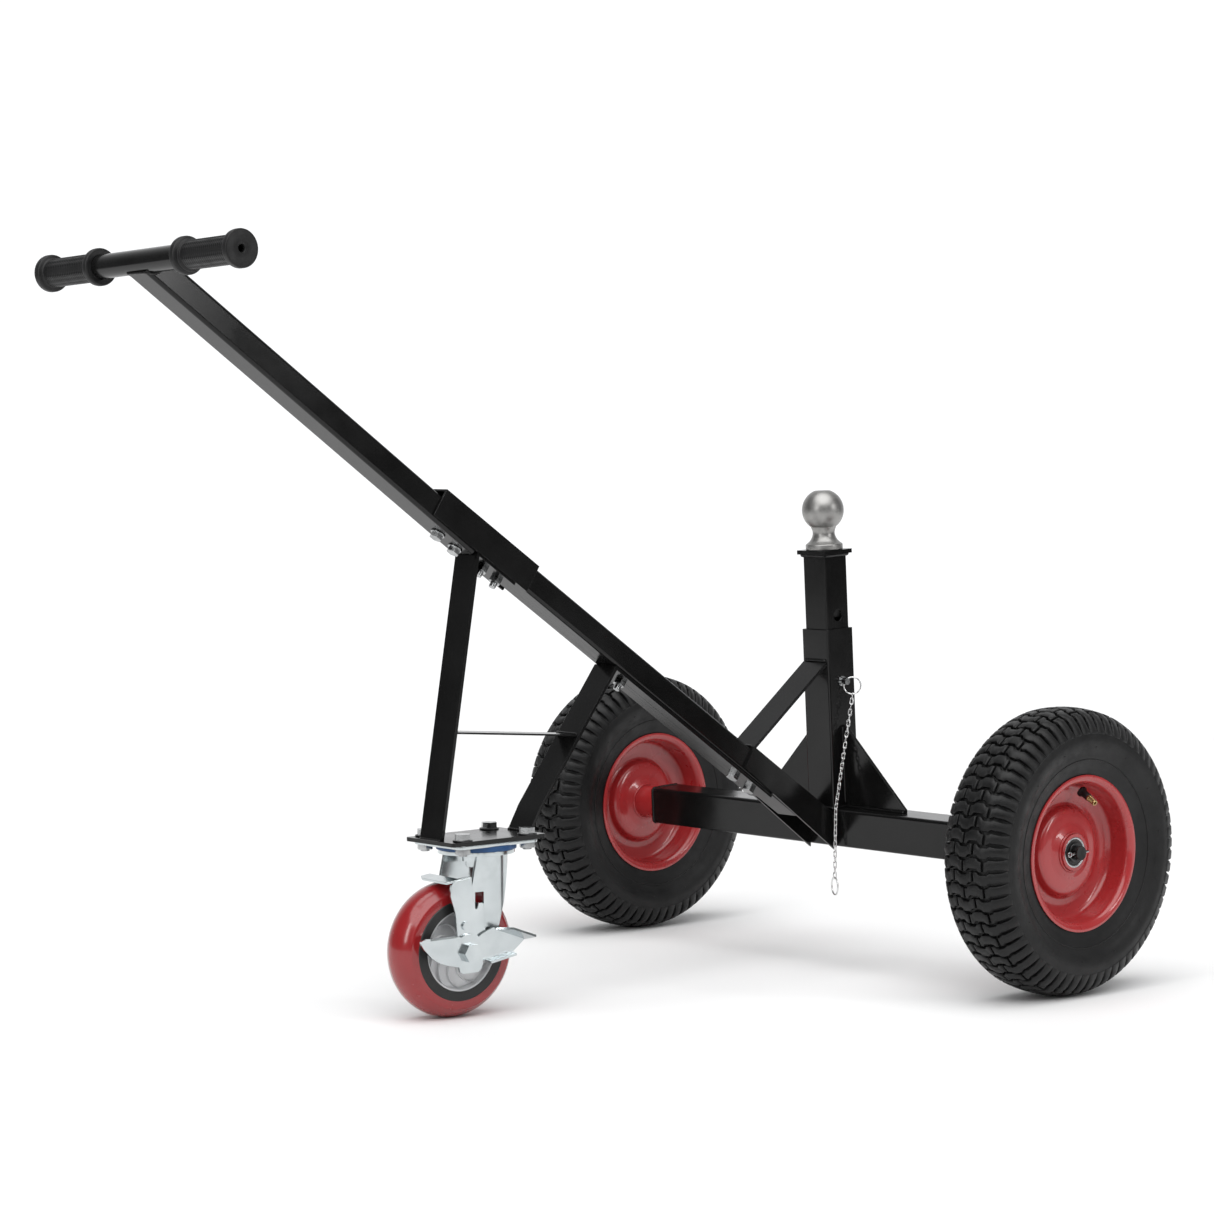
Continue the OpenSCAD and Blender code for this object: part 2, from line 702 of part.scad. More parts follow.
// Section of a leg from above: flat, then curving in round the wheel on the side towards the beam
leg_bend_x = 6;
leg_bend_r = 24;
module leg_section() {
    translate([-60, -fork_half - fork_t]) square([60 + leg_bend_x, fork_t]);
    intersection() {
        translate([leg_bend_x, -fork_half - fork_t + leg_bend_r]) difference() {
            circle(leg_bend_r);
            circle(leg_bend_r - fork_t);
        }
        translate([leg_bend_x, -fork_half - fork_t]) square([leg_bend_r, leg_bend_r / 2]);
    }
}

module fork_leg() intersection() {
    linear_extrude(crown_top) leg_section();
    upright_plate(-fork_half - fork_t, 0) leg_outline();
}

module caster_fork() color(zinc) at_caster() {
    difference() {
        translate([0, 0, crown_top - crown_t]) cylinder(r = crown_r, h = crown_t);
        translate([0, 0, crown_top - crown_t - 1]) cylinder(r = kingpin_r + 0.06, h = crown_t + 2);
    }
    for (side = [0, 1]) mirror([0, side, 0]) fork_leg();
}

core_r = 56;
core_in_r = 45;
module caster_tread() color(red_tread) at_caster_wheel() rotate_extrude($fn = 128) difference() {
    intersection() {
        translate([caster_r - 30, 0]) circle(30);
        translate([0, -caster_half_w]) square([100, 2 * caster_half_w]);
    }
    translate([0, -through]) square([core_r + seam, 2 * through]);
}

module caster_core() color(black_paint) at_caster_wheel() rotate_extrude($fn = 96)
    translate([core_in_r + seam, -caster_half_w - 1])
        square([core_r - core_in_r - seam, 2 * caster_half_w + 2]);

// Grey hub moulding, dished on each side, with curved ribs in the dish
hub_l = 29;
web_half = 6;
rib_count = 12;
module caster_hub() color(grey_hub) at_caster_wheel() {
    difference() {
        union() {
            cylinder(r = core_in_r, h = 2 * caster_half_w, center = true);
            cylinder(r = 16, h = 2 * hub_l, center = true);
        }
        for (side = [-1, 1]) translate([0, 0, side * (caster_half_w / 2 + web_half)])
            difference() {
                cylinder(r = core_in_r - 3, h = caster_half_w, center = true);
                cylinder(r = 16, h = caster_half_w, center = true);
            }
        cylinder(r = caster_bolt_r + 0.06, h = 100, center = true);
    }
    for (side = [-1, 1], i = [0:rib_count - 1]) rotate(i * 360 / rib_count)
        translate([15, -1, side > 0 ? web_half - 0.5 : -web_half - 11.5]) cube([core_in_r - 16.5, 2, 12]);
}

module caster_axle() color(zinc) at_caster_wheel() {
    translate([0, 0, -pedal_y - pedal_t - clear]) hex_bolt(caster_bolt_r, 9.5, 7.5, 88);
}

module caster_axle_nut() color(zinc) at_caster_wheel()
    translate([0, 0, fork_half + fork_t + seam]) hex_nut(9.5, caster_bolt_r + 0.05, 9);

// Brake arm on the near side, with its shoe over the tread
shoe_gap = 3.6;
shoe_t = 2.5;
shoe_half_l = 16;
shoe_half_w = 24;
// Width of the corner cut off the shoe's far end
shoe_corner = 12;
shoe_tilt = -8;
arm_y = -(fork_half + fork_t + clear + arm_t);
rivet_x = -40;
rivet_z = 105.5;
rivet_r = 3;
rivet_head_r = 4.8;
rivet_head_h = 2.4;
// A frame at a point of the caster, with +Z towards the far side
module across(x, y, z) translate([x, y, z]) rotate([-90, 0, 0]) children();
module brake_arm() color(zinc) at_caster() {
    difference() {
        // The arm narrows above a hook that shows in the leg's slot
        upright_plate(arm_y, arm_y + arm_t) polygon([
            [-57.8, 152], [-53, 156], [-31.4, 158.5], [-30.5, 133.5], [-27, 130], [-27.1, 124],
            [-25.1, 122.4], [-23.2, 124.6], [-22.6, 129.1], [-18.4, 129.7], [-15.6, 128.5], [-15.3, 107],
            [-13.5, 99], [-19, 90], [-50, 90], [-50.7, 98.5], [-52.6, 119], [-59, 139.7]
        ]);
        across(rivet_x, arm_y - 1, rivet_z) cylinder(r = rivet_r + 0.05, h = arm_t + 2);
        // Relief round the axle bolt
        across(-trail, arm_y - 1, caster_r) cylinder(r = 2 * caster_bolt_r, h = arm_t + 2);
    }
    translate([-trail, 0, caster_r]) rotate([0, shoe_tilt, 0]) translate([0, 0, caster_r + shoe_gap])
        linear_extrude(shoe_t) polygon([
            [-shoe_half_l, arm_y + 0.5], [shoe_half_l, arm_y + 0.5], [shoe_half_l, arm_y + arm_t - 0.5],
            [2, arm_y + arm_t + 2], [2, shoe_half_w], [-shoe_half_l + 6, shoe_half_w],
            [-shoe_half_l, shoe_half_w - shoe_corner]
        ]);
}

// The arm's rivet stands proud of its outside
module brake_rivet() color(zinc) at_caster() {
    across(rivet_x, arm_y - 1, rivet_z) cylinder(r = rivet_r, h = arm_t + 1);
    across(rivet_x, arm_y - seam - rivet_head_h, rivet_z) cylinder(r = rivet_head_r, h = rivet_head_h);
}

// Rocking pedal on the axle bolt: a wing each way, with its edges bent outwards
pedal_low = -pedal_y - pedal_t;
pedal_hub_r = 20.5;
flange_t = 2.5;
// How far each bent edge reaches into the wing behind it
flange_root = pedal_t - 0.6;
// A bent edge from point p of a wing, turned down by slope, l long, w wide and tilted up by rise.
// Its far end is narrower by cut.
module bent_edge(p, slope, l, w, rise, cut) translate([p[0], pedal_low, p[1]]) rotate([-rise, slope, 0])
    linear_extrude(flange_t) polygon([[0, flange_root], [l, flange_root], [l, -w], [cut, -w], [0, 0]]);

module brake_pedal() color(zinc) at_caster() translate([-trail, 0, caster_r]) {
    difference() {
        upright_plate(pedal_low, pedal_low + pedal_t) union() {
            circle(pedal_hub_r);
            polygon([
                [-14, -15], [-12.5, -20.7], [-8.6, -22.7], [11.2, -22.5], [15.7, -18.9], [17.9, -12.7],
                [10, 0], [-10, 0]
            ]);
            polygon([
                [-10, 17.5], [-19, 19], [-52, 19.6], [-60.5, 19], [-63.2, 17.4], [-63, 14.5], [-59.5, 8.8],
                [-50, -1.3], [-39, -8.3], [-28.3, -11.9], [-14, -15], [-10, 0]
            ]);
            polygon([
                [8, 13], [16, 18.9], [23.8, 22.2], [31.7, 24.9], [35.5, 23.6], [74.6, 9], [60.5, -2.2],
                [58.2, -4], [49.2, -5.5], [22.4, -10], [10, -12]
            ]);
        }
        translate([0, pedal_low - 1, 0]) rotate([-90, 0, 0])
            cylinder(r = caster_bolt_r + 0.06, h = pedal_t + 2);
    }
    // The foot pad, the stop under it and the rim of the other wing
    bent_edge([35, 22.2], 20.2, 41.5, 20, 14, 9);
    bent_edge([22.6, -12.4], -9.8, 35, 8.5, -8, 0.5);
    bent_edge([-57, 17.6], -1, 37, 4.5, 5, 3);
}

// ---------- lock pin and chain ----------

pin_r = 6.35;
tail_r = 4.2;
tail_l = 9.3;
ring_r = 10.3;
ring_wire = 0.9;
// Where the ring's middle hangs from the pin's tail, out to the side and down
ring_out = 8.6;
ring_down = 5.7;
tail_y = -sleeve_w / 2 - 4.9;
eye_r = 2.2;
// Angle between the ring and the beam's long faces
ring_turn = 41;

// The ring's frame, with its middle at the origin
module at_ring() leaning() translate([0, tail_y, pin_z]) rotate([0, 0, -ring_turn])
    translate([ring_out, 0, -ring_down]) children();

module lock_pin() color(zinc) difference() {
    leaning() translate([0, 0, pin_z]) rotate([90, 0, 0]) {
        translate([0, 0, -sleeve_w / 2 - 8]) cylinder(r = pin_r, h = sleeve_w + 8.5);
        cylinder(r = tail_r, h = sleeve_w / 2 + tail_l);
    }
    leaning() translate([0, tail_y, pin_z]) rotate([0, 0, -ring_turn])
        rotate([0, atan2(ring_down, ring_out), 0]) cylinder(r = eye_r, h = 30, center = true);
}

module pin_ring() color(steel) at_ring() rotate([90, 0, 0])
    rotate_extrude() translate([ring_r, 0]) circle(ring_wire, $fn = 24);

// A point of the leaning frame, in the frame on the ground below the axle
function leaned(p) = [
    p[0] * cos(frame_lean) - p[2] * sin(frame_lean),
    p[1],
    tyre_r + p[0] * sin(frame_lean) + p[2] * cos(frame_lean)
];
// The lowest point of the ring's wire, where the chain's top link hangs
ring_foot = leaned([
    ring_out * cos(ring_turn), tail_y - ring_out * sin(ring_turn), pin_z - ring_down - ring_r
]);

// Chain of oval links, from the pin's ring over the beam's front edge to the end ring
chain_points = [ring_foot + [0.2, 0, 1], [-17, -33, 255], [-30, -32, 188], [-32, -32, 104]];
link_pitch = 6.2;
link_wire = 0.7;
// From a link's middle to the middle of the wire at its side and at its end
link_side = 1.75;
link_end = 4.05;
module chain_link() for (turn = [0, 180]) rotate([0, turn, 0]) {
    translate([0, 0, link_end - link_side]) rotate([90, 0, 0]) rotate_extrude(angle = 180)
        translate([link_side, 0]) circle(link_wire, $fn = 16);
    translate([link_side, 0, link_side - link_end])
        cylinder(r = link_wire, h = 2 * (link_end - link_side), $fn = 16);
}

function chain_span(i) = norm(chain_points[i + 1] - chain_points[i]);
function span_links(i) = floor(chain_span(i) / link_pitch);
function links_before(i) = i == 0 ? 0 : links_before(i - 1) + span_links(i - 1);
// The links lie square to each other, with a slow twist down to the end ring
end_ring_r = 10.6;
end_ring_turn = 65;
top_link_turn = ring_turn - 90;
last_link = links_before(len(chain_points) - 1) - 1;
link_twist = (90 - end_ring_turn - top_link_turn - 90 * (last_link % 2)) / last_link;
function link_turn(k) = top_link_turn + (90 * (k % 2)) + link_twist * k;

module lock_chain() color(steel) from_axle() {
    for (i = [0:len(chain_points) - 2]) {
        a = chain_points[i];
        b = chain_points[i + 1];
        links = span_links(i);
        tilt_y = atan2(b[0] - a[0], b[2] - a[2]);
        for (k = [0:links - 1]) translate(a + (b - a) * (k + 0.5) / links) rotate([0, tilt_y, 0])
            rotate([0, 0, link_turn(links_before(i) + k)]) chain_link();
    }
    translate(chain_points[len(chain_points) - 1] + [0, 0, 1 - end_ring_r])
        rotate([0, 0, end_ring_turn]) rotate([90, 0, 0])
            rotate_extrude() translate([end_ring_r, 0]) circle(ring_wire, $fn = 24);
}

axle_beam();
beam_end_caps();
axle_shaft();
axle_spacers();
axle_washers();
cotter_pins();
post_sleeve();
post_gussets();
inner_post();
ball_plate();
hitch_ball();
ball_nut();
handle_socket();
brace_strap();
lower_handle();
splice_channel();
splice_weld_nuts();
upper_handle();
splice_bolts();
splice_washers();
flange_screws();
flange_nuts();
socket_bolts();
socket_nuts();
t_bar();
grip_near();
grip_far();
front_strut();
rear_strut();
strut_tie();
near_tyre();
near_rim();
near_hub();
near_bearings();
near_valve();
far_tyre();
far_rim();
far_hub();
far_bearings();
far_valve();
bracket_plate();
caster_plate();
plate_bolts();
plate_washers();
plate_nuts();
race_ring();
swivel_balls();
kingpin();
caster_fork();
caster_tread();
caster_core();
caster_hub();
caster_axle();
caster_axle_nut();
brake_arm();
brake_rivet();
brake_pedal();
lock_pin();
pin_ring();
lock_chain();
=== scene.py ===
"""The looks of the trailer dolly: its surfaces, and finer wheels, valves, ball, grips, caster wheel and welds."""

import json
import math
import random

import bmesh
import bpy
from mathutils import Matrix, Vector


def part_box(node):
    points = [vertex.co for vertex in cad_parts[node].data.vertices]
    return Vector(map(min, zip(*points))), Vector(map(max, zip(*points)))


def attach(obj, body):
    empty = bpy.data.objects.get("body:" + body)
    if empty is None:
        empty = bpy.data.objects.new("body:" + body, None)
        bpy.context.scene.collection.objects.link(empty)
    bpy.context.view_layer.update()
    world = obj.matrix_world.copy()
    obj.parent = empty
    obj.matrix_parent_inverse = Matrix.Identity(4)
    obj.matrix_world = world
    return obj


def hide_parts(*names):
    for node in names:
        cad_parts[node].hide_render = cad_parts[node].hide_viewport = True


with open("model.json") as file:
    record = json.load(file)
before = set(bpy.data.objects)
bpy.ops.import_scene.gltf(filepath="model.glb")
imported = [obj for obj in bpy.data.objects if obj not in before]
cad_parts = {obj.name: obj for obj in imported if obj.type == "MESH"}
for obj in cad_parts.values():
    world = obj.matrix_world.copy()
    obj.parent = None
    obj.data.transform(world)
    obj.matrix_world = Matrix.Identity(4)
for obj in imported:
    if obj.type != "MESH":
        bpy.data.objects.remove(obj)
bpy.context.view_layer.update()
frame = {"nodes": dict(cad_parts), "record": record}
scene = bpy.context.scene
record = frame["record"]
joints = {j["name"]: j for j in record["behaviour"]["joints"]}
mounts = {m["name"]: m for m in record["mounts"]}
MM = 0.001
TURN = 2 * math.pi

# ---------- places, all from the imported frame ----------

axle = Vector(joints["near_wheel_spin"]["pos_m"])
lean = math.atan2(-mounts["hitch_ball"]["axis"][0], mounts["hitch_ball"]["axis"][2])
caster_hub_at = Vector(joints["caster_spin"]["pos_m"])
caster_turn = math.atan2(-joints["caster_spin"]["axis"][0], joints["caster_spin"]["axis"][1])


def middle(node):
    low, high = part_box(node)
    return (Vector(low) + Vector(high)) / 2


def placed(at, *turns):
    """A matrix from millimetres in a local frame to the dolly's frame: at, then turns as (axis, degrees)."""
    m = Matrix.Translation(at)
    for axis, angle in turns:
        m = m @ Matrix.Rotation(math.radians(angle), 4, axis)
    return m @ Matrix.Scale(MM, 4)


def wheel_frame(node, side):
    """+Z points out of the wheel's outer face."""
    at = middle(node)
    return placed((axle.x, at.y, axle.z), ("X", -90 * side))


near_frame = wheel_frame("near_tyre", -1)
far_frame = wheel_frame("far_tyre", 1)
lean_frame = placed(axle, ("Y", -math.degrees(lean)))
caster_wheel_frame = placed(caster_hub_at, ("Z", math.degrees(caster_turn)), ("X", -90))

# ---------- camera ----------

CAMERA_AT = (-2.4661, -2.8858, 0.6547)
CAMERA_AZIMUTH = -41.154
CAMERA_ELEVATION = 3.12
CAMERA_ROLL = -0.368
CAMERA_LENS = 99.13
CAMERA_SENSOR = 36


def make_camera():
    data = bpy.data.cameras.new("camera")
    data.sensor_width = CAMERA_SENSOR
    data.lens = CAMERA_LENS
    camera = bpy.data.objects.new("camera", data)
    scene.collection.objects.link(camera)
    a, e, roll = (math.radians(v) for v in (CAMERA_AZIMUTH, CAMERA_ELEVATION, CAMERA_ROLL))
    back = Vector((math.sin(a) * math.cos(e), -math.cos(a) * math.cos(e), math.sin(e)))
    right = Vector((0, 0, 1)).cross(back).normalized()
    up = back.cross(right)
    x = math.cos(roll) * right + math.sin(roll) * up
    y = -math.sin(roll) * right + math.cos(roll) * up
    camera.matrix_world = Matrix.Translation(CAMERA_AT) @ Matrix((x, y, back)).transposed().to_4x4()
    scene.camera = camera


make_camera()

# ---------- materials ----------

# Noise mostly stays between these
NOISE_LOW, NOISE_HIGH = 0.3, 0.7


class Shader:
    """A principled material whose node texture coordinates are the dolly's own metres."""

    def __init__(self, name, color, metal=0.0, **sockets):
        self.material = bpy.data.materials.new(name)
        self.material.use_nodes = True
        self.tree = self.material.node_tree
        self.bsdf = self.tree.nodes["Principled BSDF"]
        self.bsdf.inputs["Base Color"].default_value = (*color, 1)
        self.bsdf.inputs["Metallic"].default_value = metal
        for label, value in sockets.items():
            self.bsdf.inputs[label.replace("_", " ")].default_value = value
        self.coords = self.tree.nodes.new("ShaderNodeTexCoord").outputs["Object"]

    def node(self, kind, inputs=(), **settings):
        made = self.tree.nodes.new(kind)
        for key, value in settings.items():
            setattr(made, key, value)
        for key, value in dict(inputs).items():
            if isinstance(value, bpy.types.NodeSocket):
                self.tree.links.new(value, made.inputs[key])
            else:
                made.inputs[key].default_value = value
        return made

    def noise(self, scale, detail=3.0, rough=0.55, stretch=(1, 1, 1), distortion=0.0):
        where = self.node("ShaderNodeMapping", {"Vector": self.coords, "Scale": stretch}).outputs[0]
        inputs = {"Vector": where, "Scale": scale, "Detail": detail, "Roughness": rough, "Distortion": distortion}
        return self.node("ShaderNodeTexNoise", inputs).outputs["Fac"]

    def spread(self, value, low, high, to_low, to_high):
        """value from low to high, mapped to to_low to to_high."""
        inputs = {"Value": value, "From Min": low, "From Max": high, "To Min": to_low, "To Max": to_high}
        return self.node("ShaderNodeMapRange", inputs).outputs["Result"]

    def mix(self, factor, a, b):
        """a where factor is 0, b where it is 1. Each is a color or a socket."""
        a, b = (v if isinstance(v, bpy.types.NodeSocket) else (*v, 1) for v in (a, b))
        return self.node("ShaderNodeMix", {0: factor, 6: a, 7: b}, data_type="RGBA").outputs[2]

    def color(self, socket):
        self.tree.links.new(socket, self.bsdf.inputs["Base Color"])

    def rough(self, value, low, high):
        """Roughness from low to high as value, a noise, goes over its usual range."""
        rough = self.spread(value, NOISE_LOW, NOISE_HIGH, low, high)
        self.tree.links.new(rough, self.bsdf.inputs["Roughness"])

    def bump(self, height, strength, distance):
        inputs = {"Height": height, "Strength": strength, "Distance": distance}
        self.tree.links.new(self.node("ShaderNodeBump", inputs).outputs[0], self.bsdf.inputs["Normal"])


def powder_coat():
    s = Shader("black_powder", (0.006, 0.006, 0.006), Specular_IOR_Level=0.32)
    dust = s.spread(s.noise(9, 5), 0.42, 0.72, 0.0, 1.0)
    base = s.mix(dust, (0.0035, 0.0035, 0.0035), (0.007, 0.007, 0.007))
    # Faint scuffs: thin light streaks where stretched noise peaks
    scuff = s.spread(s.noise(40, 6, 0.6, (1, 1, 5), 1.2), 0.68, 0.76, 0.0, 0.25)
    s.color(s.mix(scuff, base, (0.03, 0.03, 0.03)))
    s.rough(s.noise(22, 3), 0.14, 0.22)
    s.bump(s.noise(190, 1), 0.012, 0.0006)
    return s.material


def tyre_rubber():
    s = Shader("tyre_rubber", (0.01, 0.01, 0.01), Specular_IOR_Level=0.3)
    bloom = s.spread(s.noise(24, 6, 0.6), 0.4, 0.75, 0.0, 1.0)
    base = s.mix(bloom, (0.0045, 0.0045, 0.0047), (0.0095, 0.0095, 0.0098))
    speck = s.spread(s.noise(900, 2), 0.66, 0.8, 0.0, 0.3)
    s.color(s.mix(speck, base, (0.045, 0.044, 0.042)))
    s.rough(s.noise(70, 4), 0.36, 0.56)
    s.bump(s.noise(1100, 3, 0.7), 0.25, 0.0004)
    return s.material


def grip_rubber():
    s = Shader("grip_rubber", (0.01, 0.01, 0.01), Specular_IOR_Level=0.35)
    s.color(s.mix(s.noise(30, 5), (0.0055, 0.0055, 0.0058), (0.012, 0.012, 0.0125)))
    s.rough(s.noise(90, 4), 0.36, 0.52)
    s.bump(s.noise(1400, 3, 0.7), 0.3, 0.0003)
    return s.material


def red_enamel():
    s = Shader("red_enamel", (0.36, 0.02, 0.022), Coat_Weight=0.6, Coat_Roughness=0.05, Specular_IOR_Level=0.45)
    s.color(s.mix(s.noise(16, 4), (0.345, 0.02, 0.022), (0.4, 0.028, 0.03)))
    s.rough(s.noise(28, 4), 0.24, 0.34)
    s.bump(s.noise(330, 2), 0.07, 0.0006)
    return s.material


def zinc(name, light, dark, low, high, scale=26):
    """Bare or plated metal: patches from dark to light, fine scratches, and roughness from low to high."""
    s = Shader(name, light, metal=1.0)
    spangle = s.spread(s.noise(scale, 5, 0.5), 0.35, 0.7, 0.0, 1.0)
    base = s.mix(spangle, dark, light)
    scratch = s.spread(s.noise(170, 4, 0.7, (1, 7, 1), 0.6), 0.66, 0.74, 0.0, 0.3)
    s.color(s.mix(scratch, base, tuple(0.75 * v for v in dark)))
    s.rough(s.noise(75, 5), low, high)
    s.bump(s.noise(70, 5), 0.12, 0.0006)
    return s.material


def turned_steel():
    s = Shader("ball_steel", (0.35, 0.345, 0.335), metal=1.0)
    s.color(s.mix(s.noise(40, 5), (0.33, 0.326, 0.317), (0.37, 0.366, 0.356)))
    s.rough(s.noise(110, 4), 0.38, 0.46)
    # Turning marks run round the ball, so they are fine along its axis only
    s.bump(s.noise(30, 2, 0.6, (1, 1, 90)), 0.12, 0.00006)
    return s.material


def plain(name, dark, light, low, high, metal=0.0, coat=0.0, grain=900, depth=0.12):
    """A moulded surface: one color from dark to light, roughness from low to high, and a grain."""
    s = Shader(name, light, metal=metal, Coat_Weight=coat, Coat_Roughness=0.08)
    s.color(s.mix(s.noise(32, 4), dark, light))
    s.rough(s.noise(60, 4), low, high)
    s.bump(s.noise(grain, 2), depth, 0.0003)
    return s.material


MATERIALS = {
    "black_powder": powder_coat(),
    "tyre_rubber": tyre_rubber(),
    "grip_rubber": grip_rubber(),
    "red_enamel": red_enamel(),
    "bearing_steel": zinc("bearing_steel", (0.55, 0.55, 0.56), (0.38, 0.38, 0.39), 0.18, 0.3, 60),
    "valve_brass": zinc("valve_brass", (0.5, 0.36, 0.17), (0.36, 0.25, 0.11), 0.2, 0.34, 90),
    "ball_steel": turned_steel(),
    "blue_seal": plain("blue_seal", (0.008, 0.05, 0.15), (0.011, 0.065, 0.19), 0.32, 0.46),
    "red_tread": plain("red_tread", (0.25, 0.011, 0.014), (0.3, 0.015, 0.017), 0.18, 0.28,
                       coat=0.5, grain=240, depth=0.05),
    "black_core": plain("black_core", (0.006, 0.006, 0.006), (0.011, 0.011, 0.011), 0.4, 0.55),
    "grey_hub": plain("grey_hub", (0.55, 0.555, 0.565), (0.64, 0.645, 0.655), 0.26, 0.38, metal=0.25),
    "plain_steel": zinc("plain_steel", (0.07, 0.07, 0.07), (0.035, 0.035, 0.035), 0.3, 0.42, 60),
    "chain_steel": zinc("chain_steel", (0.88, 0.88, 0.88), (0.68, 0.68, 0.68), 0.16, 0.28, 200),
    "zinc_sheet": zinc("zinc_sheet", (0.61, 0.65, 0.66), (0.52, 0.56, 0.572), 0.15, 0.24),
    "zinc_fastener": zinc("zinc_fastener", (0.46, 0.467, 0.47), (0.3, 0.307, 0.31), 0.16, 0.28, 90),
}
DARK_OXIDE = zinc("dark_oxide", (0.09, 0.09, 0.092), (0.04, 0.04, 0.041), 0.28, 0.4, 90)
BLACK_SEAL = plain("black_seal", (0.008, 0.008, 0.008), (0.016, 0.016, 0.016), 0.35, 0.5)

slot_of = {p["node"]: p["material_slot"] for p in record["subparts"]}
DARK_NODES = ("plate_washers", "axle_washers")
# Nodes whose edges stay as they are, and the radius of the others' edges, in mm
ROUND_NODES = ("lock_chain", "pin_ring", "swivel_balls", "cotter_pins", "near_hub", "far_hub")
HARD_EDGE = 35
SAME_POINT = 0.01 * MM
USUAL_EDGE = 0.4
EDGE = {"brake_pedal": 0.7, "brake_arm": 0.6, "caster_fork": 0.7, "caster_plate": 0.6, "bracket_plate": 0.5}


def finish_cad_nodes():
    """Each CAD node gets its slot's material, welded vertices and, on hard-edged pieces, rounded edges."""
    for name, obj in frame["nodes"].items():
        material = DARK_OXIDE if name in DARK_NODES else MATERIALS[slot_of[name]]
        obj.data.materials.clear()
        obj.data.materials.append(material)
        if name in ROUND_NODES:
            continue
        weld_points = obj.modifiers.new("weld", "WELD")
        weld_points.merge_threshold = SAME_POINT
        edges = obj.modifiers.new("edges", "BEVEL")
        edges.width = EDGE.get(name, USUAL_EDGE) * MM
        edges.segments = 2
        edges.limit_method = "ANGLE"
        edges.angle_limit = math.radians(HARD_EDGE)
        edges.use_clamp_overlap = True
        shading = obj.modifiers.new("shading", "WEIGHTED_NORMAL")
        shading.keep_sharp = False


finish_cad_nodes()

# ---------- mesh helpers ----------


def piece(name, verts, faces, body, slot, matrix=Matrix(), material=None, sharp=38):
    """A mesh piece from points in matrix's frame, riding on body."""
    mesh = bpy.data.meshes.new(name)
    mesh.from_pydata([matrix @ Vector(v) for v in verts], [], faces)
    work = bmesh.new()
    work.from_mesh(mesh)
    bmesh.ops.recalc_face_normals(work, faces=work.faces)
    work.to_mesh(mesh)
    work.free()
    mesh.materials.append(material or MATERIALS[slot])
    mesh.polygons.foreach_set("use_smooth", [True] * len(mesh.polygons))
    mesh.set_sharp_from_angle(angle=math.radians(sharp))
    obj = bpy.data.objects.new(name, mesh)
    scene.collection.objects.link(obj)
    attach(obj, body)
    return obj


def circle(r, steps):
    return [(r * math.cos(TURN * i / steps), r * math.sin(TURN * i / steps)) for i in range(steps)]


def lathe(profile, steps=96):
    """A closed (r, z) profile turned about Z. Points on the axis are shared."""
    verts, rings = [], []
    for r, z in profile:
        if r < 1e-6:
            rings.append([len(verts)] * steps)
            verts.append((0, 0, z))
        else:
            rings.append(list(range(len(verts), len(verts) + steps)))
            verts += [(x, y, z) for x, y in circle(r, steps)]
    faces = []
    for k in range(len(profile)):
        a, b = rings[k], rings[(k + 1) % len(profile)]
        for i in range(steps):
            j = (i + 1) % steps
            corners = list(dict.fromkeys((a[i], a[j], b[j], b[i])))
            if len(corners) > 2:
                faces.append(corners)
    return verts, faces


def arc(centre, r, start, end, steps):
    """Points on an arc, angles in degrees."""
    out = []
    for i in range(steps + 1):
        a = math.radians(start + (end - start) * i / steps)
        out.append((centre[0] + r * math.cos(a), centre[1] + r * math.sin(a)))
    return out


def smooth(points, steps):
    """A Catmull-Rom curve through 2-D or 3-D points."""
    pts = [Vector(p) for p in points]
    pts = [2 * pts[0] - pts[1]] + pts + [2 * pts[-1] - pts[-2]]
    out = []
    for i in range(1, len(pts) - 2):
        for k in range(steps):
            t = k / steps
            a, b, c, d = pts[i - 1:i + 3]
            out.append(0.5 * (2 * b + (c - a) * t + (2 * a - 5 * b + 4 * c - d) * t * t
                              + (3 * b - a - 3 * c + d) * t ** 3))
    out.append(pts[-2])
    return [tuple(p) for p in out]


def sheet(path, thickness):
    """The closed outline of a sheet along a 2-D path."""
    left, right = [], []
    for i, p in enumerate(path):
        a, b = Vector(path[max(i - 1, 0)]), Vector(path[min(i + 1, len(path) - 1)])
        d = (b - a).normalized()
        n = Vector((-d.y, d.x)) * thickness / 2
        left.append(tuple(Vector(p) + n))
        right.append(tuple(Vector(p) - n))
    return left + right[::-1]


def loft(sides, rings):
    """The faces of a closed tube through rings of points, with a cap at each end."""
    faces = []
    for k in range(rings - 1):
        for i in range(sides):
            j = (i + 1) % sides
            faces.append([sides * k + i, sides * k + j, sides * (k + 1) + j, sides * (k + 1) + i])
    last = sides * (rings - 1)
    return faces + [list(range(sides)), [last + i for i in range(sides)][::-1]]


def join(parts):
    """One (verts, faces) from several."""
    verts, faces = [], []
    for v, f in parts:
        start = len(verts)
        verts += v
        faces += [[i + start for i in face] for face in f]
    return verts, faces

# ---------- pneumatic tyres ----------

TYRE_R = (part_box("near_tyre")[1][2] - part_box("near_tyre")[0][2]) / 2 / MM
CROWN_R = 110
WALL_R = 34
WALL_AT = Vector((131, 11.5))
TREAD_ROWS = 66
TREAD_DEPTH = 4.8
BLOCK_PERIOD = 27
GROOVE = 2.6
CROSS_GROOVE = 4.2
WIDENING = 0.6
ZIGZAG = 1.9
LUG_TIP = 59
# Distances across the tread, from its middle: where the wave steps in each period, and where the wave fades,
# the cross grooves widen, the lugs run together and the grooves get shallow
WAVE_STEP = (4.2, 8.6)
WAVE_FADE = (30, 38)
GROOVE_WIDENS = (28, 40)
GROOVE_CLOSES = (47, LUG_TIP)
GROOVE_SHALLOWS = (46, LUG_TIP)
SHALLOW = 0.35
CASING_RINGS = 60
TYRE_STEPS = 132
BAND_R = 108
PIPS = 14
PIP_AT = 74


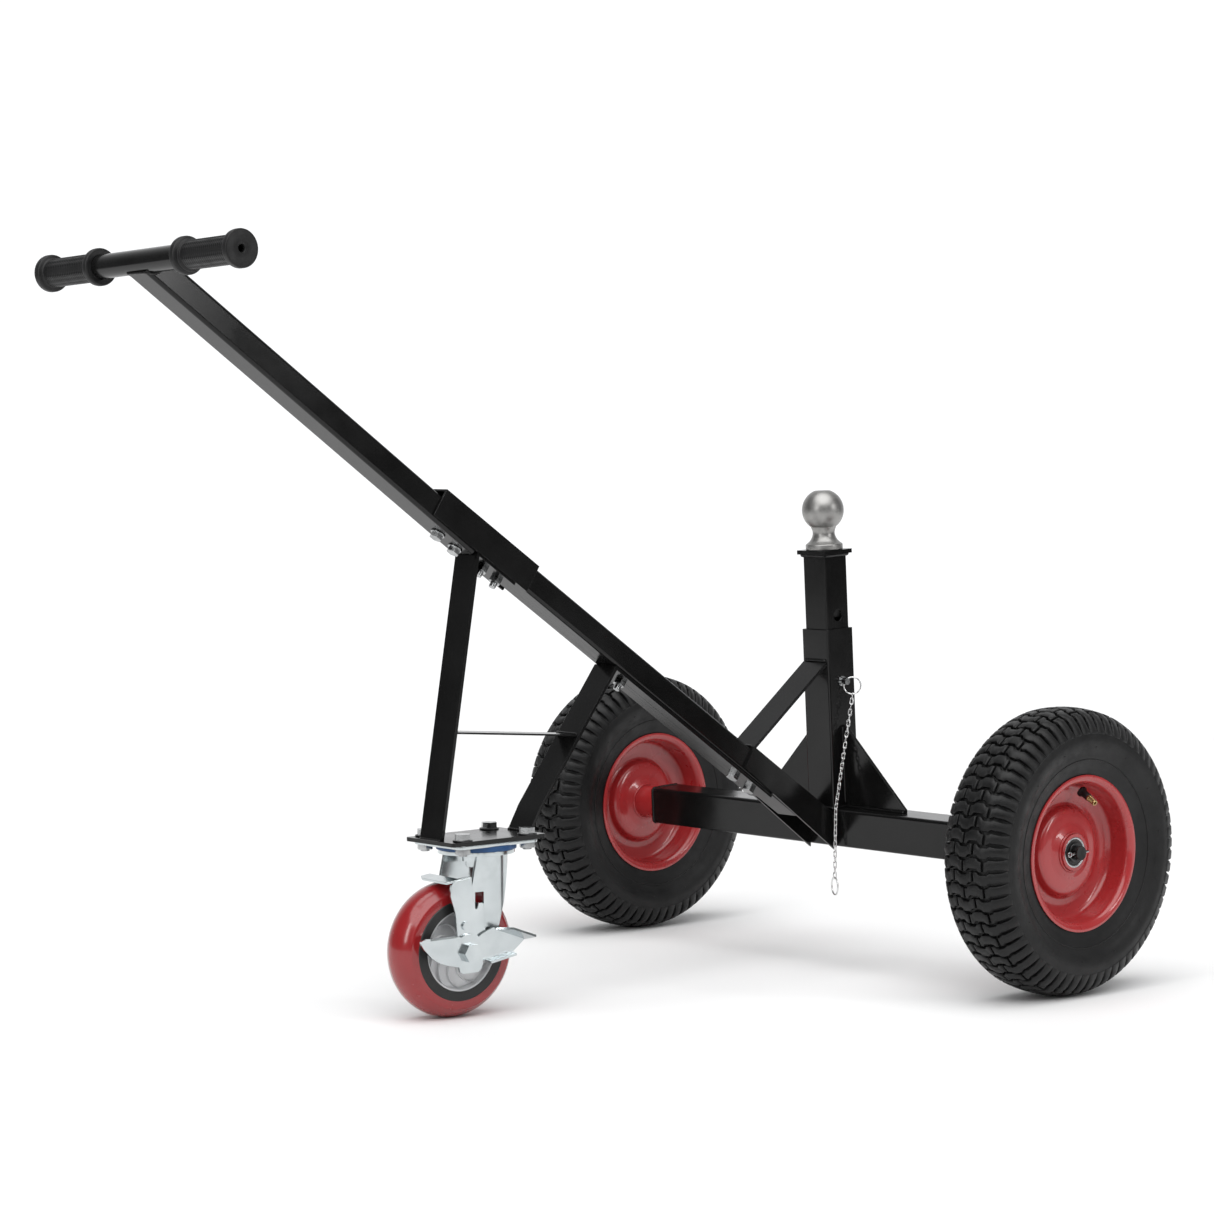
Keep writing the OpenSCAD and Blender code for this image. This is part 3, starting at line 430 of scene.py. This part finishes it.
def tyre_outline():
    """Half of the tyre's outside, from the middle of its crown to its bead, as (r, z)."""
    points = []
    angle = 0.0
    while True:
        p = Vector((TYRE_R - CROWN_R + CROWN_R * math.cos(angle), CROWN_R * math.sin(angle)))
        if p.y > WALL_AT.y and (p - WALL_AT).length >= WALL_R:
            break
        points.append(p)
        angle += 0.008
    start = math.degrees(math.atan2(points[-1].y - WALL_AT.y, points[-1].x - WALL_AT.x))
    points += [Vector(p) for p in arc(WALL_AT, WALL_R, start, 118, 70)[1:]]
    points += [Vector(p) for p in smooth([points[-1], (106, 39), (98, 36.4), (92, 35), (87.5, 33.6)], 6)[1:]]
    return points


outline = tyre_outline()
reach = [0.0]
for before, after in zip(outline, outline[1:]):
    reach.append(reach[-1] + (after - before).length)


def on_tyre(v, depth):
    """The point of the section at distance v across the tread from its middle, depth below the outside."""
    side, v = (1 if v >= 0 else -1), abs(v)
    k = 1
    while k < len(reach) - 1 and reach[k] < v:
        k += 1
    a, b = outline[k - 1], outline[k]
    t = (v - reach[k - 1]) / (reach[k] - reach[k - 1])
    along = (b - a).normalized()
    p = a + (b - a) * t - depth * Vector((along.y, -along.x))
    return p.x, side * p.y


def step(value, low, high):
    """0 below low, 1 above high, and a smooth rise between."""
    t = min(max((value - low) / (high - low), 0), 1)
    return t * t * (3 - 2 * t)


def groove_depth(v):
    """Depth of the tread's grooves at distance v across it."""
    return SHALLOW + (TREAD_DEPTH - SHALLOW) * (1 - step(abs(v), *GROOVE_SHALLOWS))


def row_edges(v, row):
    """Where a row's block begins and ends along the tread, at distance v across it.

    Every cross groove follows the same stepped wave, so even rows bow out at their foot and odd rows are notched.
    """
    pitch = TURN * TYRE_R / TREAD_ROWS
    off = abs((abs(v) + BLOCK_PERIOD / 2) % BLOCK_PERIOD - BLOCK_PERIOD / 2)
    wave = ZIGZAG * (1 - 2 * step(off, *WAVE_STEP)) * (1 - step(abs(v), *WAVE_FADE))
    width = (CROSS_GROOVE + WIDENING * step(abs(v), *GROOVE_WIDENS)) * (1 - step(abs(v), *GROOVE_CLOSES))
    half = pitch / 2 - width / 2
    return row * pitch + wave - half, row * pitch + wave + half


def tread_block(row, v0, v1, round_by=0.8):
    """A block from v0 to v1 across the tread, its top edges rounded, its foot sunk in the casing."""
    count = max(3, round(abs(v1 - v0) / 1.5))
    stations = [(v0, round_by)] + [
        (v0 + round_by + (v1 - v0 - 2 * round_by) * i / count, 0.0) for i in range(count + 1)
    ] + [(v1, round_by)]
    verts = []
    for v, drop in stations:
        low, high = row_edges(v, row)
        foot = groove_depth(v) + 1.0
        inset = min(round_by, 0.2 * (high - low))
        for u, depth in ((low - 0.3, foot), (low, drop + inset * 0.7), (low + inset, drop),
                         (high - inset, drop), (high, drop + inset * 0.7), (high + 0.3, foot)):
            r, z = on_tyre(v, min(depth, foot))
            angle = u / TYRE_R
            verts.append((r * math.cos(angle), r * math.sin(angle), z))
    return verts, loft(6, len(stations))


def tread():
    parts = []
    half, gap = BLOCK_PERIOD / 2, GROOVE / 2
    for row in range(TREAD_ROWS):
        if row % 2:
            spans = [(gap, BLOCK_PERIOD - gap), (BLOCK_PERIOD + gap, LUG_TIP)]
        else:
            parts.append(tread_block(row, gap - half, half - gap))
            spans = [(half + gap, LUG_TIP)]
        for low, high in spans:
            parts.append(tread_block(row, low, high))
            parts.append(tread_block(row, -high, -low))
    return join(parts)


def casing():
    """The tyre's hollow body: its outside sinks to the floor of the tread's grooves."""
    half = []
    for i in range(CASING_RINGS + 1):
        v = reach[-1] * i / CASING_RINGS
        in_tread = v < LUG_TIP + 2
        half.append(on_tyre(v, groove_depth(v) if in_tread else SHALLOW * (1 - step(v, LUG_TIP + 2, LUG_TIP + 8))))
    outside = [(r, -z) for r, z in half[:0:-1]] + half
    inside = [(84, 24), (96, 27)] + arc((131, 6), 25, 125, 0, 10) + arc((131, -6), 25, 0, -125, 10)
    inside += [(96, -27), (84, -24)]
    return lathe(outside + inside, TYRE_STEPS)


def band(side):
    """The raised ring on the sidewall."""
    v = next(d for p, d in zip(outline, reach) if p.x < BAND_R)
    centre = Vector(on_tyre(v, 0.1))
    ring = [(centre.x + x, side * (centre.y + z)) for x, z in arc((0, 0), 0.75, 0, 330, 7)]
    return lathe(ring, TYRE_STEPS)


def vent_pips():
    """Small moulding pips on both sidewalls."""
    parts = []
    for i in range(PIPS):
        for side in (-1, 1):
            r, z = on_tyre(PIP_AT, 0.2)
            turn = Matrix.Rotation(TURN * (i + 0.3 * side) / PIPS, 4, "Z")
            verts, faces = lathe([(0, -0.5), (1.1, -0.5), (1.0, 0.4), (0.6, 0.8), (0, 0.9)], 10)
            verts = [tuple(turn @ Vector((r + x, y, side * (z + h)))) for x, y, h in verts]
            parts.append((verts, faces))
    return join(parts)


def make_tyre(wheel, matrix):
    parts = [casing(), tread(), band(-1), band(1), vent_pips()]
    tyre = piece(wheel + "_tyre_tread", *join(parts), wheel + "_wheel", "tyre_rubber", matrix, sharp=50)
    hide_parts(wheel + "_tyre")


# ---------- rims, bearings and valves ----------

RIM_PATH = arc((87.6, 28), 7, 75, 180, 7) + [(80.5, 24), (80.1, 19.5), (79.2, 14.6)]
RIM_PATH += arc((70, 12.5), 9, -10, -80, 4) + [(63.5, 1.8), (57.5, 1.6)]
RIM_PATH += arc((56, 7), 5.4, -100, -165, 3)
RIM_PATH += [(48.6, 10.4), (44, 12.4), (38, 13.2), (32, 13.8), (27, 15.6), (22.2, 17.5)]
RIM_T = 2
HUB_END = 22
HUB_WELD_AT = (22.1, 18.6)
HUB_WELD_R = 1.6
# Inner side of the hub tube, past the bearing and almost to the beam's end cap
COLLAR = [(18.2, -HUB_END), (21, -HUB_END), (21, -48), (20.6, -52.4), (19.6, -54), (18.6, -54), (18.2, -53.4)]


def make_rim(wheel, matrix):
    """Two pressed dishes back to back, the hub's inner collar, and a weld round the hub on each side."""
    half = lathe(sheet(smooth(RIM_PATH, 3), RIM_T), 160)
    other = [(x, y, -z) for x, y, z in half[0]], half[1]
    around = arc(HUB_WELD_AT, HUB_WELD_R, 0, 330, 9)
    parts = [half, other, lathe(COLLAR)] + [lathe([(r, side * z) for r, z in around]) for side in (-1, 1)]
    rim = piece(wheel + "_rim_shell", *join(parts), wheel + "_wheel", "red_enamel", matrix, sharp=60)
    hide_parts(wheel + "_rim")


def make_seals(wheel, matrix):
    """A black lipped seal in each bearing's face, between its two bright races."""
    parts = []
    for side in (-1, 1):
        face = HUB_END - 0.35
        shape = [(10.4, face - 0.4), (15.1, face - 0.4), (15.1, face), (14.3, face + 0.12), (13.6, face - 0.1)]
        shape += [(12.4, face - 0.1), (11.8, face + 0.15), (10.9, face + 0.1), (10.4, face - 0.1)]
        parts.append(lathe([(r, side * z) for r, z in shape], 64))
    piece(wheel + "_bearing_seals", *join(parts), wheel + "_wheel", "black_core", matrix, BLACK_SEAL)


VALVE_TURN = 75
VALVE_AT = (70.5, 0, 16)
VALVE_LEAN = -28
THREADS = 6
THREAD_PITCH = 1.15


def make_valve(wheel, matrix):
    at = matrix @ Matrix.Rotation(math.radians(VALVE_TURN), 4, "Z") @ Matrix.Translation(VALVE_AT)
    at = at @ Matrix.Rotation(math.radians(VALVE_LEAN), 4, "Y")
    foot = [(0, 0), (6.2, 0), (6.3, 1.4), (5.6, 2.8), (4.7, 4), (4.3, 6), (4.2, 13.2), (3.8, 14), (0, 14)]
    stem = piece(wheel + "_valve_stem", *lathe(foot, 40), wheel + "_wheel", "grip_rubber", at)
    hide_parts(wheel + "_valve")
    tip = [(0, 13.5), (3.9, 13.5), (3.9, 15.6), (3.2, 16.2)]
    for i in range(THREADS):
        z = 16.6 + THREAD_PITCH * i
        tip += [(3.35, z), (3.35, z + 0.45), (3.05, z + 0.75)]
    tip += [(3.3, 23.8), (3.3, 25.4), (3.0, 25.8), (1.9, 25.8), (1.8, 23), (0, 23)]
    piece(wheel + "_valve_tip", *lathe(tip, 40), wheel + "_wheel", "valve_brass", at)


for wheel, matrix in (("near", near_frame), ("far", far_frame)):
    make_tyre(wheel, matrix)
    make_rim(wheel, matrix)
    make_seals(wheel, matrix)
    make_valve(wheel, matrix)

# ---------- hitch ball ----------

BALL_R = 25.4
BALL_FLAT = 23.6
FOOT_R = 22.5


def make_ball():
    up = Vector(mounts["hitch_ball"]["axis"])
    height = (Vector(mounts["hitch_ball"]["pos_m"]) - axle).dot(up) / MM
    flat = math.degrees(math.asin(BALL_FLAT / BALL_R))
    shape = [(0, -81), (9, -81), (9.5, -80), (9.5, -48), (FOOT_R - 0.8, -48)]
    shape += arc((FOOT_R - 0.8, -47.2), 0.8, -60, 0, 3) + arc((FOOT_R - 2, -42.5), 2, 0, 60, 4)
    shape += smooth([(20.6, -40.2), (17.4, -37.4), (14.8, -33.4), (13.5, -29), (13.7, -25), (15.4, -20.2)], 5)
    shape += arc((0, 0), BALL_R, -50, flat - 1.5, 34)
    shape += [(BALL_R * math.cos(math.radians(flat)) - 0.2, BALL_FLAT), (0, BALL_FLAT)]
    ball = piece("hitch_ball_turned", *lathe(shape, 128), "frame", "ball_steel",
                 lean_frame @ Matrix.Translation((0, 0, height)), sharp=45)
    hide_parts("hitch_ball")


make_ball()

# ---------- hand grips ----------

BAR_TILT = 1.9
BAR_R = 12.7
GRIP_R = 15
FLANGE_R = 19.7
GRIP_L = 101
BAR_HALF = 177
GRIP_STEPS = 96
RING_PITCH = 0.85
# Raised diamonds: pitch along the grip, how many a turn, height and the plain strips between their four panels
DIAMOND_PITCH = 6.8
DIAMONDS = 8
DIAMOND_H = 0.8
PANEL_STEPS = GRIP_STEPS // 4


def make_grip(name, mirrored):
    """A moulded grip: flanged ends, a ring beside the inner flange and rows of raised diamonds."""
    bar = placed(middle("t_bar"), ("X", -90 - BAR_TILT))
    end = BAR_HALF
    low = end - GRIP_L
    outside = [(BAR_R + 0.3, low)] + arc((FLANGE_R - 2.2, low + 2.2), 2.2, -90, 0, 4)
    outside += arc((FLANGE_R - 3, low + 6), 3, 0, 60, 3) + [(16.6, low + 9.2), (15.6, low + 10)]
    outside += arc((15.4, low + 11.6), 1.5, -60, 90, 4) + [(GRIP_R - 0.3, low + 13.6)]
    first = len(outside)
    panel = [low + 15 + RING_PITCH * i for i in range(int((GRIP_L - 27) / RING_PITCH))]
    outside += [(GRIP_R - 0.3, z) for z in panel]
    last = len(outside)
    outside += [(GRIP_R - 0.3, end - 10.4), (15.6, end - 9.6), (16.4, end - 9)]
    outside += arc((FLANGE_R - 3, end - 6), 3, -60, 0, 3) + arc((FLANGE_R - 1.6, end - 1.6), 1.6, 0, 90, 4)
    outside += [(12, end - 0.3), (5, end - 0.4), (4.2, end - 0.9), (3.8, end - 5.8), (BAR_R, end - 5.8)]
    verts, faces = lathe(outside, GRIP_STEPS)
    shaped = []
    for i, (x, y, z) in enumerate(verts):
        ring, k = i // GRIP_STEPS, i % GRIP_STEPS
        if first < ring < last - 1:
            along, round_by = TURN * (z - low) / DIAMOND_PITCH, DIAMONDS * TURN * k / GRIP_STEPS
            border = 0.0 if k % PANEL_STEPS in (0, 1, PANEL_STEPS - 1) else 1.0
            bumps = max(0.0, math.cos(along + round_by) * math.cos(along - round_by))
            scale = 1 + DIAMOND_H * border * bumps ** 0.5 / GRIP_R
            x, y = x * scale, y * scale
        shaped.append((x, y, -z if mirrored else z))
    grip = piece(name + "_moulded", shaped, faces, "frame", "grip_rubber", bar, sharp=70)
    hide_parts(name)


make_grip("grip_near", True)
make_grip("grip_far", False)

# ---------- caster wheel ----------

CASTER_R = 76.2
CORE_R = 56
CORE_IN_R = 45
TREAD_HALF = 24
TREAD_CROWN = 30
WEB_Z = 17
BOSS_Z = 29
RIBS = 11
RIB_STEPS = 12
RIB_HALF = 0.9
RIB_BEND = 0.75


def make_caster_wheel():
    """The cast tread, the black core it is cast on, and the ribbed hub."""
    edge = math.degrees(math.asin((TREAD_HALF - 1.5) / TREAD_CROWN))
    section = [(CORE_R, -TREAD_HALF)] + smooth([(63, -TREAD_HALF), (65.6, -TREAD_HALF + 0.8)], 2)
    section += arc((CASTER_R - TREAD_CROWN, 0), TREAD_CROWN, -edge, edge, 26)
    section += [(65.6, TREAD_HALF - 0.8), (63, TREAD_HALF), (CORE_R, TREAD_HALF)]
    cast = piece("caster_tread_cast", *lathe(section, 128), "caster_wheel", "red_tread", caster_wheel_frame, sharp=60)
    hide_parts("caster_tread")

    half = TREAD_HALF + 1
    one = [(CORE_IN_R, -half), (CORE_R - 1, -half), (CORE_R, -half + 1)]
    core = one + [(r, -z) for r, z in one[::-1]]
    core_piece = piece("caster_core_ring", *lathe(core), "caster_wheel", "black_core", caster_wheel_frame)
    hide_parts("caster_core")

    one = [(41.8, WEB_Z + 1.5), (42.6, TREAD_HALF - 0.8), (43.4, TREAD_HALF), (CORE_IN_R, TREAD_HALF)]
    other = [(r, -z) for r, z in one[::-1]]
    inner = [(41, -WEB_Z), (20, -WEB_Z), (17, -WEB_Z - 2), (16, -BOSS_Z + 0.8), (15.2, -BOSS_Z), (6.1, -BOSS_Z)]
    parts = [lathe(one + other + inner + [(r, -z) for r, z in inner[::-1]])]
    for side in (-1, 1):
        for i in range(RIBS):
            parts.append(curved_rib(i / RIBS, side, WEB_Z, TREAD_HALF - 2.5))
    hub = piece("caster_hub_ribbed", *join(parts), "caster_wheel", "grey_hub", caster_wheel_frame)
    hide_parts("caster_hub")


def curved_rib(share, side, low, high):
    """A rib swept from the boss to the rim, bending as it goes out."""
    verts, half = [], RIB_HALF
    for k in range(RIB_STEPS + 1):
        t = k / RIB_STEPS
        r = 15.5 + 27.6 * t
        angle = TURN * share + RIB_BEND * t * t * side
        top = high - 2 * (1 - t) ** 2
        for off, z in ((-half, low - 0.5), (-half, top - 0.6), (0, top), (half, top - 0.6), (half, low - 0.5)):
            a = angle + off / r
            verts.append((r * math.cos(a), r * math.sin(a), side * z))
    return verts, loft(5, RIB_STEPS + 1)


make_caster_wheel()

# ---------- welds ----------

random.seed(11)
BEAD_STEP = 0.8
BEAD_SIDES = 8
BEAD_TAPER = (0.45, 0.8, 0.95, 1)
RIPPLE = 3.2


def bead(points, radius):
    """A rippled weld bead along points, as (verts, faces)."""
    path = [Vector(p) for p in points]
    stations = [path[0]]
    for a, b in zip(path, path[1:]):
        count = max(1, round((b - a).length / BEAD_STEP))
        stations += [a + (b - a) * (i + 1) / count for i in range(count)]
    verts = []
    travelled = random.random() * RIPPLE
    for k, p in enumerate(stations):
        d = (stations[min(k + 1, len(stations) - 1)] - stations[max(k - 1, 0)]).normalized()
        side = d.orthogonal().normalized()
        up = d.cross(side)
        travelled += BEAD_STEP
        end = min(k, len(stations) - 1 - k)
        size = radius * (0.86 + 0.2 * abs(math.sin(math.pi * travelled / RIPPLE)) + random.uniform(-0.05, 0.05))
        size *= BEAD_TAPER[min(end, 3)]
        verts += [tuple(p + x * side + y * up) for x, y in circle(size, BEAD_SIDES)]
    return verts, loft(BEAD_SIDES, len(stations))


def square_loop(half_x, half_y, z, corner=2.5):
    """A closed rectangle with rounded corners, at height z."""
    out, x, y = [], half_x - corner, half_y - corner
    for centre, start in (((x, y), 0), ((-x, y), 90), ((-x, -y), 180), ((x, -y), 270)):
        out += [(*p, z) for p in arc(centre, corner, start, start + 90, 3)]
    return out + [out[0]]


def weld(name, lines, radius, matrix):
    piece(name, *join([bead(points, radius) for points in lines]), "frame", "black_powder", matrix, sharp=80)


# Sizes of the welded steel
BEAM_W = 46
BEAM_HALF = 307.7
SLEEVE_W = 44.45
INNER_W = 38.1
GUSSET_LEG = 100
GUSSET_T = 4
HANDLE_W = 38
UPPER_SLOPE = 35.3
STRUT_W = 38
SOCKET_HALF = 22
# Heights above the axle, along the leaning post
INNER_TOP = 332
STRAP_TOP = 203
SOCKET_LOW, SOCKET_HIGH = -24, 16
# (x, z) from the ground under the axle
STRAP_LOW = (-155.5, 272)
STRUT_FEET = [(-629.3, 199.9), (-624, 199.9), (-503.2, 199.9), (-497.6, 199.9)]
TIE_ENDS = [(-603.6, 318.4), (-430.6, 304.4)]
# How far a bead's middle stands off the faces it joins
OFF = 0.6
# Where the saddle welds between the handle and the T-bar have their points
SADDLE_Z = (-12.5, -11, -8, -4, 0, 4, 8, 11, 12.5)


def across(x, z, half):
    """A line along Y, from side to side."""
    return [(x, -half, z), (x, half, z)]


def make_welds():
    """Beads where the photograph shows them, and round the feet of the pieces that it hides."""
    top = BEAM_W / 2
    for end, name in ((-1, "near"), (1, "far")):
        cap = lean_frame @ Matrix.Translation((0, end * BEAM_HALF, 0)) @ Matrix.Rotation(math.radians(90), 4, "X")
        weld(f"weld_cap_{name}", [square_loop(top - 1.2, top - 1.2, 0, 3.5)], 2.3, cap)
    foot = SLEEVE_W / 2
    lines = [square_loop(foot + OFF, foot + OFF, top + OFF)]
    for side in (-1, 1):
        for face in (-1, 1):
            x = face * (GUSSET_T / 2 + 0.5)
            lines.append([(x, side * (foot + 4), top + OFF), (x, side * (foot + GUSSET_LEG - 2), top + OFF)])
            lines.append([(x, side * (foot + OFF), top + 4), (x, side * (foot + OFF), top + GUSSET_LEG - 2)])
    weld("weld_post", lines, 2.0, lean_frame)
    half = INNER_W / 2 + 0.8
    weld("weld_ball_plate", [square_loop(half, half, INNER_TOP - 0.8)], 2.6, lean_frame)

    half = STRUT_W / 2 - 1
    weld("weld_strap_top", [across(-foot - OFF, STRAP_TOP + OFF, half)], 2.0, lean_frame)
    lines = [across(*STRAP_LOW, half)]
    lines += [across(x, z, half) for x, z in STRUT_FEET + TIE_ENDS]
    weld("weld_frame", lines, 1.8, placed((axle.x, 0, 0)))
    lines = [across(-top - OFF, SOCKET_HIGH, SOCKET_HALF)]
    for side in (-1, 1):
        y = side * (SOCKET_HALF + 0.5)
        lines.append([(-top - OFF, y, SOCKET_LOW), (-top - OFF, y, SOCKET_HIGH)])
    weld("weld_socket", lines, 1.9, lean_frame)

    bar = placed(middle("t_bar"), ("Y", UPPER_SLOPE))
    lines = []
    for side in (-1, 1):
        y = side * (HANDLE_W / 2 + 0.3)
        lines.append([(math.sqrt(BAR_R ** 2 - z * z) + 0.8, y, z) for z in SADDLE_Z])
        lines.append([(1.6, -HANDLE_W / 2 + 1, side * 13.6), (1.6, HANDLE_W / 2 - 1, side * 13.6)])
    weld("weld_t_bar", lines, 1.8, bar)


make_welds()

# ---------- stage ----------

FLOOR_R = 3.4
FLOOR_STEPS = 96
# The surroundings: their tint, the direction in which they are bright, their least and most strength, and what the
# camera itself sees of them
STUDIO_TINT = (0.985, 0.99, 1.0, 1)
BRIGHT_SIDE = (0.658, 0.753, 0)
BRIGHT_FROM, BRIGHT_TO = 0.3, 0.9
DIMMEST, BRIGHTEST = 0.13, 1.0
BACKDROP = 1.1
SUN_FROM = (-0.28, -0.3, 1)
SUN_STRENGTH = 3.1
SUN_WIDTH = 75
LAMPS_AIM = (0, 0, 0.4)


def make_stage():
    """A plain pale floor, wide enough that its edge is out of sight."""
    data = bpy.data.meshes.new("floor")
    data.from_pydata([(x, y, 0) for x, y in circle(FLOOR_R, FLOOR_STEPS)], [], [list(range(FLOOR_STEPS))])
    s = Shader("floor", (0.86, 0.86, 0.86))
    s.color(s.mix(s.noise(0.8, 3), (0.86, 0.86, 0.86), (0.9, 0.9, 0.9)))
    s.rough(s.noise(3, 2), 0.75, 0.9)
    data.materials.append(s.material)
    floor = bpy.data.objects.new("floor", data)
    scene.collection.objects.link(floor)


def lamp(name, at, width, height, power):
    """A rectangular lamp that faces the dolly."""
    data = bpy.data.lights.new(name, "AREA")
    data.energy = power
    data.shape = "RECTANGLE"
    data.size, data.size_y = width, height
    light = bpy.data.objects.new(name, data)
    light.location = at
    light.rotation_euler = (Vector(LAMPS_AIM) - Vector(at)).to_track_quat("-Z", "Y").to_euler()
    scene.collection.objects.link(light)


def make_light():
    """A white studio: a wide soft sun overhead, two lamps, and walls that reflect darker to the front."""
    world = bpy.data.worlds.new("studio")
    world.use_nodes = True
    scene.world = world
    tree = world.node_tree
    shade = tree.nodes["Background"]
    shade.inputs["Color"].default_value = STUDIO_TINT
    facing = tree.nodes.new("ShaderNodeVectorMath")
    facing.operation = "DOT_PRODUCT"
    tree.links.new(tree.nodes.new("ShaderNodeTexCoord").outputs["Generated"], facing.inputs[0])
    facing.inputs[1].default_value = BRIGHT_SIDE
    level = tree.nodes.new("ShaderNodeMapRange")
    limits = {"From Min": BRIGHT_FROM, "From Max": BRIGHT_TO, "To Min": DIMMEST, "To Max": BRIGHTEST}
    for label, value in limits.items():
        level.inputs[label].default_value = value
    tree.links.new(facing.outputs["Value"], level.inputs["Value"])
    seen = tree.nodes.new("ShaderNodeMix")
    tree.links.new(tree.nodes.new("ShaderNodeLightPath").outputs["Is Camera Ray"], seen.inputs[0])
    tree.links.new(level.outputs["Result"], seen.inputs[2])
    seen.inputs[3].default_value = BACKDROP
    tree.links.new(seen.outputs[0], shade.inputs["Strength"])
    sun = bpy.data.objects.new("sun", bpy.data.lights.new("sun", "SUN"))
    sun.data.energy = SUN_STRENGTH
    sun.data.angle = math.radians(SUN_WIDTH)
    sun.rotation_euler = Vector(SUN_FROM).to_track_quat("Z", "Y").to_euler()
    scene.collection.objects.link(sun)
    lamp("left", (-3.6, -0.6, 1.6), 0.7, 1.8, 26)
    lamp("right", (1.6, -3.6, 1.6), 0.4, 1.6, 22)


make_stage()
make_light()
scene.view_settings.view_transform = "Standard"
